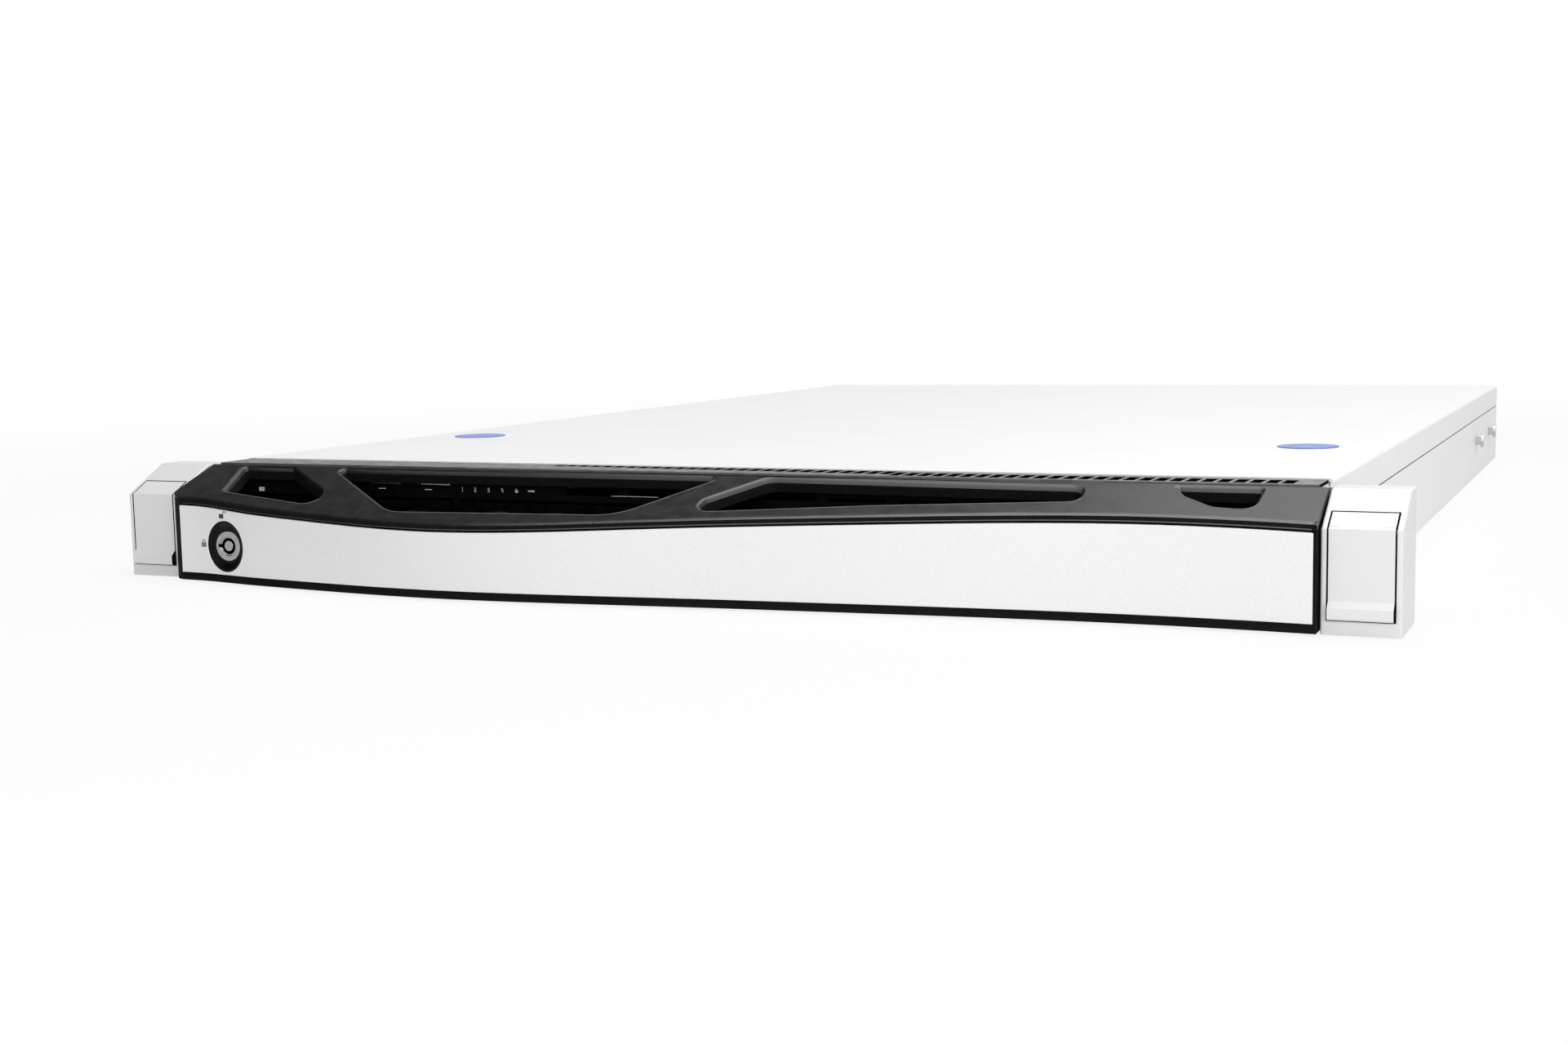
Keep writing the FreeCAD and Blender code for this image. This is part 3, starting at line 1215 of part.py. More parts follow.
def memory_socket(index):
    x = memory_x(index)
    half = MEMORY_SOCKET_WIDTH / 2
    start = BOARD_Y + MEMORY_FRONT_GAP - MEMORY_SOCKET_END
    end = start + MEMORY_LENGTH + 2 * MEMORY_SOCKET_END
    return slab(x - half, x + half, start, end, BOARD_TOP, BOARD_TOP + MEMORY_SOCKET_HEIGHT)


def port_space(place, width, height, play):
    x = BOARD_X + place
    return slab(x - play, x + width + play, PAN_REAR - PORT_DEPTH, PAN_REAR + PORT_PROUD,
                BOARD_TOP, BOARD_TOP + height + play)


def rear_port(place, width, height):
    """A metal-cased port with its recess open to the rear."""
    x = BOARD_X + place
    inside = slab(x + PORT_WALL, x + width - PORT_WALL, PAN_REAR - PORT_DEPTH + PORT_BACK,
                  PAN_REAR + PORT_PROUD + 1, BOARD_TOP + PORT_WALL,
                  BOARD_TOP + height - PORT_WALL)
    return port_space(place, width, height, 0).cut(inside)


def air_duct():
    """The bent sheet that leads the fans' air over the heatsinks."""
    left = BOARD_X + DUCT_SIDE
    right = BOARD_X + BOARD_WIDTH - DUCT_SIDE
    top = PAN_TOP - DUCT_TOP_GAP
    corner = DUCT_CHAMFER
    start = FAN_Y + FAN_DEPTH + DUCT_BEHIND_FANS
    end = BOARD_Y + SINK_FRONT_GAP + DUCT_LAP

    def hood(inset, low):
        return [(left + inset, low), (left + inset, top - corner - inset / 2),
                (left + corner + inset / 2, top - inset),
                (right - corner - inset / 2, top - inset),
                (right - inset, top - corner - inset / 2), (right - inset, low)]

    outside = front_prism(hood(0, BOARD_TOP), start, end)
    inside = front_prism(hood(DUCT_SHEET, BOARD_TOP - 1), start - 1, end + 1)
    return outside.cut(inside)


def riser_card():
    """The upright card that turns the expansion slot on its side."""
    start = BOARD_Y + SINK_FRONT_GAP + SINK_DEPTH + RISER_TO_SINK
    return slab(RISER_X, RISER_X + RISER_THICKNESS, start, PAN_REAR - RISER_TO_REAR,
                BOARD_TOP, BOARD_TOP + RISER_HEIGHT)


# ---- rear -----------------------------------------------------------------------
def slot_window():
    x = RISER_X + SLOT_COVER_LAP * 2
    z = BOARD_TOP + RISER_HEIGHT - SLOT_COVER_HEIGHT
    return x, x + SLOT_COVER_WIDTH, z, z + SLOT_COVER_HEIGHT


def slot_cover():
    """The blank plate over the expansion slot, lapping its window all round."""
    x0, x1, z0, z1 = slot_window()
    lap = SLOT_COVER_LAP
    plate = slab(x0 - lap, x1 + lap, PAN_REAR, PAN_REAR + SLOT_COVER_SHEET, z0 - lap, z1 + lap)
    plug = slab(x0, x1, PAN_REAR - SHEET, PAN_REAR, z0, z1)
    return plate.fuse(plug)


def rear_panel():
    """The rear wall with windows for ports, slot, supply and air."""
    low = HALF_CHASSIS - SHEET
    outline = [(-low, SHEET), (low, SHEET), (low, STEP_HEIGHT - SHEET),
               (INNER_HALF, STEP_HEIGHT - SHEET), (INNER_HALF, PAN_TOP), (-INNER_HALF, PAN_TOP),
               (-INNER_HALF, STEP_HEIGHT - SHEET), (-low, STEP_HEIGHT - SHEET)]
    panel = front_prism(outline, PAN_REAR - SHEET, PAN_REAR)
    for port in PORTS:
        panel = panel.cut(port_space(*port, PORT_PLAY))
    x0, x1, z0, z1 = slot_window()
    panel = panel.cut(slab(x0, x1, PAN_REAR - SHEET, PAN_REAR, z0, z1))
    rim = PSU_WINDOW_RIM
    panel = panel.cut(slab(PSU_X + rim, PSU_X + PSU_WIDTH - rim, PAN_REAR - SHEET - 1,
                           PAN_REAR + 1, SHEET + rim, SHEET + PSU_HEIGHT - rim))
    top = PAN_TOP - REAR_VENT_RIM
    for i in range(REAR_VENT_COUNT):
        x = BOARD_X + REAR_VENT_RIM + REAR_VENT_PITCH * i
        panel = panel.cut(slab(x, x + REAR_VENT_WIDTH, PAN_REAR - SHEET - 1, PAN_REAR + 1,
                               top - REAR_VENT_HEIGHT, top))
    return panel


def psu_rear():
    return PAN_REAR - SHEET


def inlet_middle():
    return PSU_X + INLET_FROM_SIDE - INLET_WIDTH / 2, SHEET + PSU_HEIGHT / 2


def psu_fan_middle():
    return PSU_X + PSU_FAN_FROM_SIDE, SHEET + PSU_HEIGHT / 2


def power_supply():
    """The supply's case with the well of its fan and the pocket of its inlet."""
    rear = psu_rear()
    case = slab(PSU_X, PSU_X + PSU_WIDTH, rear - PSU_DEPTH, rear, SHEET, SHEET + PSU_HEIGHT)
    x, z = psu_fan_middle()
    well = sided_bar(FAN_SIDES, FAN_BORE / 2, x, z, rear - FAN_DEPTH, rear + 1)
    case = case.cut(well)
    mount = sided_bar(HUB_SIDES, FAN_HUB / 2, x, z, rear - FAN_DEPTH,
                      rear - FAN_DEPTH + FAN_MOUNT)
    case = case.fuse(mount).fuse(psu_guard())
    for i in range(PSU_VENTS):
        vent_x = PSU_X + PSU_VENT_RIM + PSU_VENT_PITCH * i
        case = case.cut(slab(vent_x, vent_x + PSU_VENT_WIDTH, rear - PSU_DEPTH - 1,
                             rear - PSU_DEPTH + PSU_VENT_DEPTH, SHEET + PSU_VENT_RIM,
                             SHEET + PSU_HEIGHT - PSU_VENT_RIM))
    return case.cut(inlet_block())


def inlet_block():
    x, z = inlet_middle()
    return slab(x - INLET_WIDTH / 2, x + INLET_WIDTH / 2, psu_rear() - INLET_DEPTH, psu_rear(),
                z - INLET_HEIGHT / 2, z + INLET_HEIGHT / 2)


def power_inlet():
    """The appliance inlet: a shrouded recess with three flat pins."""
    x, z = inlet_middle()
    half = INLET_WIDTH / 2 - INLET_WALL
    tall = INLET_HEIGHT / 2 - INLET_WALL
    recess = slab(x - half, x + half, psu_rear() - INLET_DEPTH + INLET_FLOOR, psu_rear() + 1,
                  z - tall, z + tall)
    for side in (-1, 1):
        corner = [Vector(x + side * half, psu_rear() - INLET_DEPTH, z + tall - INLET_CORNER),
                  Vector(x + side * half, psu_rear() - INLET_DEPTH, z + tall),
                  Vector(x + side * (half - INLET_CORNER), psu_rear() - INLET_DEPTH, z + tall)]
        recess = recess.cut(prism(corner, Vector(0, INLET_DEPTH + 2, 0)))
    body = inlet_block().cut(recess)
    floor = psu_rear() - INLET_DEPTH + INLET_FLOOR
    pins = []
    for across, up in ((-INLET_PIN_SPREAD, 0), (0, INLET_PIN_RISE), (INLET_PIN_SPREAD, 0)):
        left = x + across - INLET_PIN_WIDTH / 2
        low = z + up - INLET_PIN_HEIGHT / 2
        pins.append(slab(left, left + INLET_PIN_WIDTH, floor, floor + INLET_PIN_LENGTH,
                         low, low + INLET_PIN_HEIGHT))
    return body.fuse(pins)


def psu_guard():
    """The finger guard left standing in the supply's end: level bars across the well."""
    x, z = psu_fan_middle()
    rear = psu_rear()
    bars = []
    for i in range(GUARD_BARS):
        up = (i - (GUARD_BARS - 1) / 2) * FAN_BORE / GUARD_BARS
        reach = math.sqrt((FAN_BORE / 2) ** 2 - up ** 2) + 1
        bars.append(slab(x - reach, x + reach, rear - GUARD_THICKNESS, rear,
                         z + up - GUARD_WIRE / 2, z + up + GUARD_WIRE / 2))
    return Part.makeCompound(bars)


# ---- the whole server -----------------------------------------------------------
def build_front():
    save("bezel_frame", bezel_frame())
    save("bezel_plate", bezel_plate())
    save("lock_sleeve", lock_sleeve())
    save("lock_barrel", lock_barrel())
    save("lock_core", lock_core())
    save("lock_nut", lock_nut())
    save("lock_cam", lock_cam())
    save("ear_housing_right", ear_housing())
    save("ear_housing_left", other_side(ear_housing()))
    save("ear_flap_right", ear_flap())
    save("ear_flap_left", other_side(ear_flap()))
    save("flap_pins", *flap_pins())
    save("ear_bracket_right", ear_bracket())
    save("ear_bracket_left", other_side(ear_bracket()))
    save("rack_screw_right", rack_screw())
    save("rack_screw_left", other_side(rack_screw()))


def build_case():
    save("chassis_pan", chassis_pan())
    save("rear_panel", rear_panel())
    save("top_cover", top_cover())
    save("cover_push_pads", *push_pads())
    save("front_top_strip", front_top_strip())
    studs = right_rail_studs()
    save("rail_studs", *studs, *[other_side(stud) for stud in studs])


def build_controls():
    save("control_strip", control_strip())
    save("usb_shells", *[usb_shell(x) for x in USB_PLACES])
    save("usb_tongues", *[usb_tongue(x) for x in USB_PLACES])
    save("status_lenses", *[status_lens(i) for i in range(LENS_COUNT)])
    save("control_board", control_board())
    save("power_button", power_button(0))
    save("reset_button", reset_button(0))
    save("button_switches", *button_switches())


def build_drives():
    save("drive_cage", drive_cage())
    for bay in range(BAYS):
        save("drive_tray_" + str(bay + 1), drive_tray(bay))
    save("tray_levers", *[tray_lever(bay) for bay in range(BAYS)])
    save("hard_drives", *[hard_drive(bay) for bay in range(BAYS)])
    save("backplane", backplane())
    save("drive_sockets", *[drive_socket(bay) for bay in range(BAYS)])


def build_cooling():
    save("fan_wall", fan_wall())
    frames = [fan_frame(fan_x(i), FAN_Y, FAN_HEIGHT) for i in range(FANS)]
    save("fan_frames", *frames)
    for i in range(FANS):
        save("fan_rotor_" + str(i + 1), fan_rotor(fan_x(i), FAN_Y, FAN_HEIGHT))
    save("air_duct", air_duct())


def build_boards():
    save("motherboard", motherboard())
    save("board_standoffs", *board_standoffs())
    save("cpu_sockets", *[cpu_socket(place) for place in SINK_PLACES])
    save("heatsinks", *[heatsink(place) for place in SINK_PLACES])
    save("memory_sockets", *[memory_socket(i) for i in range(MEMORY_STICKS)])
    save("memory_sticks", *[memory_stick(i) for i in range(MEMORY_STICKS)])
    save("rear_ports", *[rear_port(*port) for port in PORTS])
    save("riser_card", riser_card())
    save("slot_cover", slot_cover())


def build_supply():
    save("power_supply", power_supply())
    save("power_inlet", power_inlet())
    x, z = psu_fan_middle()
    rotor = fan_rotor(x, psu_rear() - FAN_DEPTH, z)
    rotor = rotor.mirror(Vector(x, psu_rear() - FAN_DEPTH / 2, z), Vector(0, 1, 0))
    save("psu_fan_rotor", rotor)


build_front()
build_case()
build_controls()
build_drives()
build_cooling()
build_boards()
build_supply()
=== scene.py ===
# %% [markdown]
# A one-unit rack server: white steel case, plastic rack ears and a black bezel
# whose front follows a shallow wave.  The engineering model comes in first and
# stays as it is.  Each later step dresses one part of it: a finer piece where
# the light will find edges, and a finish built from procedural nodes.

# %% Load the engineering model
import json
import math
import random

import bmesh
import bpy
from mathutils import Matrix, Vector

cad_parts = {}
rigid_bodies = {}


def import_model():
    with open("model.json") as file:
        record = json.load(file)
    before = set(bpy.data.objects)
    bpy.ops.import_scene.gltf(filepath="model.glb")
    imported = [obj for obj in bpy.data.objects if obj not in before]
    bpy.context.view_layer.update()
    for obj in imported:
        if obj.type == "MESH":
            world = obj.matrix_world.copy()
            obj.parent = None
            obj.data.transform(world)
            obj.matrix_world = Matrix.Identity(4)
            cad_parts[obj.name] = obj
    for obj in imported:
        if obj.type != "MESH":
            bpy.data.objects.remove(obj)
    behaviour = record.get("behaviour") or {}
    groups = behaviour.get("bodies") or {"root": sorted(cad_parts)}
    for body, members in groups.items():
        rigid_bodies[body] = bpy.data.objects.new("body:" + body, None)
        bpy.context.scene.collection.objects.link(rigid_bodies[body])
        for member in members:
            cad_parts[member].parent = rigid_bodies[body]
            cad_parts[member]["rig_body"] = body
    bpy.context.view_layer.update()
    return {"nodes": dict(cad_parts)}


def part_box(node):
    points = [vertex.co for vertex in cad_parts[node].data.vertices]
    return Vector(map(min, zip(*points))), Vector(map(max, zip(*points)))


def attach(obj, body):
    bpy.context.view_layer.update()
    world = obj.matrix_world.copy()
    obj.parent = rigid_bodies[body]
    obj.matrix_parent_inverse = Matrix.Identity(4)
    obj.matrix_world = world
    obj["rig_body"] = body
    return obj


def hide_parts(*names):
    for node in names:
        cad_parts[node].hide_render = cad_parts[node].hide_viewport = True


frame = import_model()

MM = 0.001

# %% [markdown]
# Finishes, repeated shapes and the stage are all built from nodes.  One helper adds
# a node and fills its inputs, each with a plain value or with what another node
# puts out, so that a tree reads like a list of steps.

# %% Helpers for nodes
def add_node(tree, kind, wires=(), **settings):
    """A node in a tree or a material; wires pair an input with what feeds it."""
    tree = getattr(tree, "node_tree", tree)
    node = tree.nodes.new(kind)
    for key, value in settings.items():
        setattr(node, key, value)
    for target, source in wires:
        if isinstance(source, bpy.types.NodeSocket):
            tree.links.new(source, node.inputs[target])
        else:
            node.inputs[target].default_value = source
    return node


def maths(tree, operation, *values):
    return add_node(tree, "ShaderNodeMath", enumerate(values), operation=operation).outputs[0]


def xyz(tree, **parts):
    """A vector of the given parts X, Y and Z; what isn't given is 0."""
    return add_node(tree, "ShaderNodeCombineXYZ", parts.items()).outputs[0]


def show(name, data):
    """Puts a mesh, a lamp or a camera into the scene as an object."""
    item = bpy.data.objects.new(name, data)
    bpy.context.scene.collection.objects.link(item)
    return item


print("node helpers ready")

# %% [markdown]
# A finish is a Principled shader plus a few layers of detail.  Every layer reads
# Object coordinates, which stay with the metal when the part moves.  Most layers are
# soft noise: it varies the colour a little, varies the gloss, or raises a grain.  So
# one function makes a finish from lists of such layers, and the special patterns of
# a metal or a board are added afterwards.  All sizes here are in millimetres.

# %% Helpers for finishes
EVENLY = (1, 1, 1)


def shader_of(material):
    return material.node_tree.nodes["Principled BSDF"]


def feed(material, label, source):
    """Links an output to an input of the material's shader."""
    material.node_tree.links.new(source, shader_of(material).inputs[label])


def place(material, stretch=EVENLY):
    """Object coordinates, stretched so that a pattern can run along one direction."""
    source = add_node(material, "ShaderNodeTexCoord")
    return add_node(material, "ShaderNodeMapping", [
        ("Vector", source.outputs["Object"]), ("Scale", stretch)]).outputs["Vector"]


def cloud(material, size, stretch=EVENLY, detail=3.0):
    """Soft noise whose blobs are about one size."""
    return add_node(material, "ShaderNodeTexNoise", [
        ("Vector", place(material, stretch)), ("Scale", 1 / (size * MM)),
        ("Detail", detail)]).outputs["Fac"]


def between(material, factor, low, high, start=0.35, end=0.65):
    """Turns a 0 to 1 pattern into numbers between low and high."""
    return add_node(material, "ShaderNodeMapRange", [
        ("Value", factor), ("From Min", start), ("From Max", end), ("To Min", low),
        ("To Max", high)]).outputs["Result"]


def vary_colour(material, factor, dark, light, start=0.35, end=0.65):
    """Base colour mixed between a darker and a lighter tone by a pattern."""
    mix = add_node(material, "ShaderNodeMix", [
        ("Factor", between(material, factor, 0, 1, start, end)), ("A", (*dark, 1)),
        ("B", (*light, 1))], data_type="RGBA")
    feed(material, "Base Color", mix.outputs["Result"])


def raise_grain(material, factor, height):
    """Adds a bump layer of a real height on top of those already there."""
    wires = [("Height", factor), ("Distance", height * MM), ("Strength", 1.0)]
    wires += [("Normal", link.from_socket) for link in shader_of(material).inputs["Normal"].links]
    bump = add_node(material, "ShaderNodeBump", wires)
    feed(material, "Normal", bump.outputs["Normal"])


def new_finish(name, colour, roughness, metallic=0.0, mirror=0.5, tones=(), gloss=(), grains=()):
    """A finish in layers of noise.  Mirror 0.5 is common plastic, and 0 is soot.

    Each layer begins with the size of its noise.  Then tones have a dark and a light
    colour, gloss has the lowest and highest roughness, and grains have a height."""
    material = bpy.data.materials.new(name)
    material.use_nodes = True
    for label, value in (("Base Color", (*colour, 1)), ("Roughness", roughness),
                         ("Metallic", metallic), ("Specular IOR Level", mirror)):
        shader_of(material).inputs[label].default_value = value
    for size, dark, light, *more in tones:
        vary_colour(material, cloud(material, size, *more), dark, light)
    for size, low, high in gloss:
        feed(material, "Roughness", between(material, cloud(material, size), low, high))
    for size, height, *more in grains:
        raise_grain(material, cloud(material, size, *more), height)
    return material


def grey(value):
    """A neutral colour from one screen tone of 0 to 255."""
    tone = value / 255
    return (tone / 12.92,) * 3 if tone < 0.04045 else (((tone + 0.055) / 1.055) ** 2.4,) * 3


print("a tone of 128 is", round(grey(128)[0], 3))

# %% [markdown]
# The bezel is moulded in black plastic.  Its steel mould was spark-eroded, which
# leaves a fine even grain, so the slope shows a soft grey sheen instead of a
# mirror.  Two sizes of grain and a little gloss variation give that look.

# %% Black plastics
def black_plastic(name, tone, low, high, grain, mirror=0.5):
    """A grained black whose roughness runs from low to high."""
    return new_finish(name, grey(tone), low, mirror=mirror,
                      tones=[(3, grey(tone - 3), grey(tone + 4))], gloss=[(6, low, high)],
                      grains=[(0.35, grain, EVENLY, 1.0), (1.4, grain)])


def fading_black(name, tone_left, tone_right, start, end):
    """A black painted greyer towards the right end: a painted highlight that fades out to the
    left.
    """
    material = black_plastic(name, tone_right, 0.24, 0.32, 0.004, 0.7)
    across = add_node(material, "ShaderNodeSeparateXYZ",
                      [("Vector", place(material))]).outputs["X"]
    vary_colour(material, across, grey(tone_left), grey(tone_right), start, end)
    return material


BEZEL_BLACK = black_plastic("bezel_black_grained", 18, 0.30, 0.37, 0.010, 0.85)
# Painted highlight: a greyer black for the lit tops of the walls that face right.
WALL_TOP_HIGHLIGHT_PAINT = black_plastic("bezel_black_rim", 58, 0.26, 0.34, 0.006)
# Painted highlight: light grey for the beads along the rims.
RIM_BEAD_HIGHLIGHT_PAINT = black_plastic("bezel_black_rim_line", 112, 0.26, 0.34, 0.004)
# Painted highlight on the lip's turn, lighter towards the right end.
LIP_HIGHLIGHT_PAINT = fading_black("bezel_black_lip_painted_highlight", 16, 96, -0.08, 0.10)
# Painted highlight on the lip bead, lighter towards the right end.
BEAD_HIGHLIGHT_PAINT = fading_black("bezel_black_bead_painted_highlight", 14, 74, -0.16, 0.06)
# Painted shade: a sooty black for walls and bands of the bezel that lie in shade.
SHADE_PAINT_BLACK = black_plastic("bezel_black_painted_shade", 8, 0.70, 0.80, 0.020, 0.12)
# Real black for the lock ring; also painted into the core's key slot as shade.
RING_BLACK_AND_SLOT_SHADE = black_plastic("lock_ring_black_and_slot_shade", 8, 0.26, 0.36, 0.002, 0.10)
STRIP_BLACK = black_plastic("control_strip_black", 6, 0.60, 0.70, 0.010, 0.06)
# Real black for the drive trays; also used as painted shade in slots, on the cage front and in
# sheets behind gaps.
BAY_BLACK_AND_SHADE = black_plastic("drive_bay_black_and_painted_shade", 6, 0.72, 0.84, 0.010, 0.02)
INNER_BLACK = black_plastic("inner_black_plastic", 34, 0.42, 0.56, 0.010)
print("black plastics", sum("black" in material.name for material in bpy.data.materials))

# %% [markdown]
# The face plate is thin aluminium with a satin silver coat: tiny flakes lie in the
# lacquer and the rolling of the sheet leaves faint level lines.  The ears carry
# a paler coat of the same kind over plastic, without the lines.

# %% Silver coats
def silver_coat(name, tone, metallic):
    return new_finish(name, grey(tone), 0.4, metallic,
                      tones=[(0.25, grey(tone - 7), grey(tone + 5), EVENLY, 1.0)],
                      gloss=[(2, 0.36, 0.46)], grains=[(0.3, 0.003, EVENLY, 1.0)])


PLATE_SILVER = silver_coat("plate_satin_silver", 234, 0.45)
raise_grain(PLATE_SILVER, cloud(PLATE_SILVER, 0.4, (0.01, 1, 1), 2.0), 0.004)
EAR_WHITE = silver_coat("ear_silver_white", 220, 0.0)
print("silver coats", PLATE_SILVER.name, EAR_WHITE.name)

# %% [markdown]
# The case sheets are powder coated.  The powder melts into a skin with a soft
# ripple, called orange peel, and shelves and hands leave faint duller patches.
# The push pads of the cover are printed with a blue film.

# %% Powder coat and printed pads
CASE_WHITE = new_finish("case_powder_white", grey(236), 0.42, mirror=0.3,
                        tones=[(40, grey(235), grey(237))], gloss=[(25, 0.42, 0.48)],
                        grains=[(1.2, 0.006)])
PAD_BLUE = new_finish("pad_blue_film", (0.12, 0.20, 0.60), 0.35,
                      tones=[(5, (0.10, 0.175, 0.56), (0.135, 0.22, 0.64))],
                      gloss=[(3, 0.30, 0.42)], grains=[(0.8, 0.006)])
print("case coat", CASE_WHITE.name, "pads", PAD_BLUE.name)

# %% [markdown]
# Bare metals each have their own mark.  Zinc-coated sheet shows crystal spangles,
# drawn steel and turned parts show fine lines, cast aluminium is dull and pitted,
# and plated locks and ports are smooth with only faint wipe marks.

# %% Bare metals
SPANGLE = 6 * MM             # size of a crystal in the zinc


def zinc_sheet(name, tone):
    material = new_finish(name, grey(tone), 0.4, 0.85, gloss=[(4, 0.34, 0.48)],
                          grains=[(0.5, 0.003, (1, 0.05, 1))])
    crystals = add_node(material, "ShaderNodeTexVoronoi",
                        [("Vector", place(material)), ("Scale", 1 / SPANGLE)])
    lightness = add_node(material, "ShaderNodeSeparateColor",
                         [("Color", crystals.outputs["Color"])]).outputs["Red"]
    vary_colour(material, lightness, grey(tone - 12), grey(tone + 10), 0.0, 1.0)
    return material


def drawn_metal(name, colour, low, high, stretch, size=0.4, depth=0.002):
    """Metal with lines along the stretch, of a size across and a depth."""
    material = new_finish(name, colour, low, 1.0, gloss=[(1.5, low, high)])
    pattern = cloud(material, size, stretch)
    vary_colour(material, pattern, tuple(0.86 * c for c in colour), colour)
    raise_grain(material, pattern, depth)
    return material


CASE_ZINC = zinc_sheet("case_zinc_sheet", 196)
# The strip's and the cage's zinc are darker copies of the case zinc: painted shade, for sheets
# that lie behind the bezel.
STRIP_ZINC_SHADE_PAINT = zinc_sheet("front_strip_zinc_painted_shade", 112)
CAGE_ZINC_SHADE_PAINT = zinc_sheet("cage_zinc_painted_shade", 150)
STEEL = drawn_metal("drawn_steel", grey(200), 0.26, 0.38, (1, 0.06, 1))
LOCK_NICKEL = drawn_metal("lock_nickel", grey(166), 0.16, 0.26, EVENLY, 0.8, 0.001)
PORT_METAL = drawn_metal("port_plating", grey(205), 0.20, 0.30, (0.1, 1, 1))
FIN_ALUMINIUM = drawn_metal("fin_aluminium", grey(208), 0.30, 0.42, (1, 0.05, 1))
CAST_ALUMINIUM = drawn_metal("cast_aluminium", grey(168), 0.42, 0.58, EVENLY, 0.9, 0.02)
BRASS = drawn_metal("turned_brass", (0.62, 0.44, 0.16), 0.22, 0.34, (1, 1, 0.05))
print("zinc sheets", CASE_ZINC.name, STRIP_ZINC_SHADE_PAINT.name, CAGE_ZINC_SHADE_PAINT.name)

# %% [markdown]
# Circuit boards are glass cloth under a green lacquer.  Copper runs lie under the
# lacquer and lift it slightly, so a blocky pattern is used twice: it changes the
# tone a little and raises the surface.  Clear lenses, small blue tongues and the
# inks of printed marks finish the set.

# %% Boards, small plastics and inks
COPPER_RUN = 5 * MM          # size of the blocky pattern
BOARD_GREEN = new_finish("board_green_lacquer", (0.012, 0.12, 0.055), 0.3,
                         gloss=[(2, 0.24, 0.36)])
runs = add_node(BOARD_GREEN, "ShaderNodeTexVoronoi", [
    ("Vector", place(BOARD_GREEN, (1, 0.35, 1))), ("Scale", 1 / COPPER_RUN)],
    distance="MANHATTAN").outputs["Distance"]
vary_colour(BOARD_GREEN, runs, (0.006, 0.06, 0.03), (0.012, 0.12, 0.055), 0.15, 0.5)
raise_grain(BOARD_GREEN, runs, 0.03)
TONGUE_BLUE = new_finish("tongue_blue_plastic", (0.02, 0.07, 0.32), 0.4,
                         tones=[(1, (0.018, 0.06, 0.28), (0.024, 0.08, 0.36))],
                         grains=[(0.3, 0.004)])
LENS_CLEAR = new_finish("lens_smoked", (0.20, 0.22, 0.22), 0.15, gloss=[(1, 0.10, 0.22)],
                        tones=[(1, (0.16, 0.18, 0.18), (0.24, 0.26, 0.26))])


def ink(name, tone, dark, light, roughness=0.5):
    return new_finish(name, grey(tone), roughness, tones=[(0.4, grey(dark), grey(light))],
                      grains=[(0.2, 0.002)])


# White ink for printed labels, also used for painted highlights on the ports and the power button.
WHITE_INK_AND_HIGHLIGHT = ink("white_ink_and_painted_highlight", 205, 190, 215, 0.55)
MARK_DARK = ink("mark_dark_ink", 42, 32, 52)
MARK_PALE = ink("mark_pale_ink", 105, 95, 115)
print("finishes", len(bpy.data.materials))

# %% [markdown]
# Every engineering node now takes its finish.  A node that gets a finer piece
# later keeps its finish too, because the finer piece takes it over from here.

# %% Which node takes which finish
def numbered(stem):
    return [stem + str(i) for i in range(1, 5)]


FINISHES = [
    ("bezel_black", BEZEL_BLACK, ["bezel_frame"]),
    ("plate_silver", PLATE_SILVER, ["bezel_plate"]),
    ("lock_black", RING_BLACK_AND_SLOT_SHADE, ["lock_sleeve"]),
    ("lock_silver", LOCK_NICKEL, ["lock_barrel", "lock_core"]),
    ("ear_white", EAR_WHITE, ["ear_housing_right", "ear_housing_left", "ear_flap_right",
                              "ear_flap_left"]),
    ("case_light", CASE_WHITE, ["chassis_pan", "top_cover"]),
    ("case_zinc", CASE_ZINC, ["rear_panel", "fan_wall", "slot_cover", "power_supply"]),
    ("case_zinc", CAGE_ZINC_SHADE_PAINT, ["drive_cage"]),
    ("case_zinc", STRIP_ZINC_SHADE_PAINT, ["front_top_strip"]),
    ("steel", STEEL, ["lock_nut", "lock_cam", "flap_pins", "ear_bracket_right",
                      "ear_bracket_left", "rack_screw_right", "rack_screw_left", "rail_studs"]),
    ("pad_blue", PAD_BLUE, ["cover_push_pads"]),
    ("strip_dark", STRIP_BLACK, ["control_strip"]),
    ("port_metal", PORT_METAL, ["usb_shells", "rear_ports"]),
    ("tongue_blue", TONGUE_BLUE, ["usb_tongues"]),
    ("lens_clear", LENS_CLEAR, ["status_lenses"]),
    ("board_green", BOARD_GREEN, ["control_board", "backplane", "motherboard",
                                  "memory_sticks", "riser_card"]),
    ("button_light", STRIP_BLACK, ["power_button", "reset_button"]),
    ("inner_black", BAY_BLACK_AND_SHADE, numbered("drive_tray_") + ["tray_levers"]),
    ("inner_black", INNER_BLACK, numbered("fan_rotor_") + [
        "button_switches", "drive_sockets", "fan_frames", "air_duct", "cpu_sockets",
        "memory_sockets", "power_inlet", "psu_fan_rotor"]),
    ("fin_aluminium", FIN_ALUMINIUM, ["heatsinks"]),
    ("drive_metal", CAST_ALUMINIUM, ["hard_drives"]),
    ("brass", BRASS, ["board_standoffs"]),
]
SLOT_OF, FINISH_OF = {}, {}
for slot_name, finish, names in FINISHES:
    for name in names:
        SLOT_OF[name], FINISH_OF[name] = slot_name, finish
        frame["nodes"][name].data.materials.clear()
        frame["nodes"][name].data.materials.append(finish)
print("finished nodes", len(FINISH_OF), "of", len(frame["nodes"]))

# %% [markdown]
# Real edges are never perfectly sharp, and the thin bright line on a softened
# edge is what makes a part look solid.  An engineering mesh is loose triangles,
# so a copy is merged first and its flat areas become single faces.  Then chosen
# edges are bevelled.  Weighted normals keep the flat faces flat-looking.

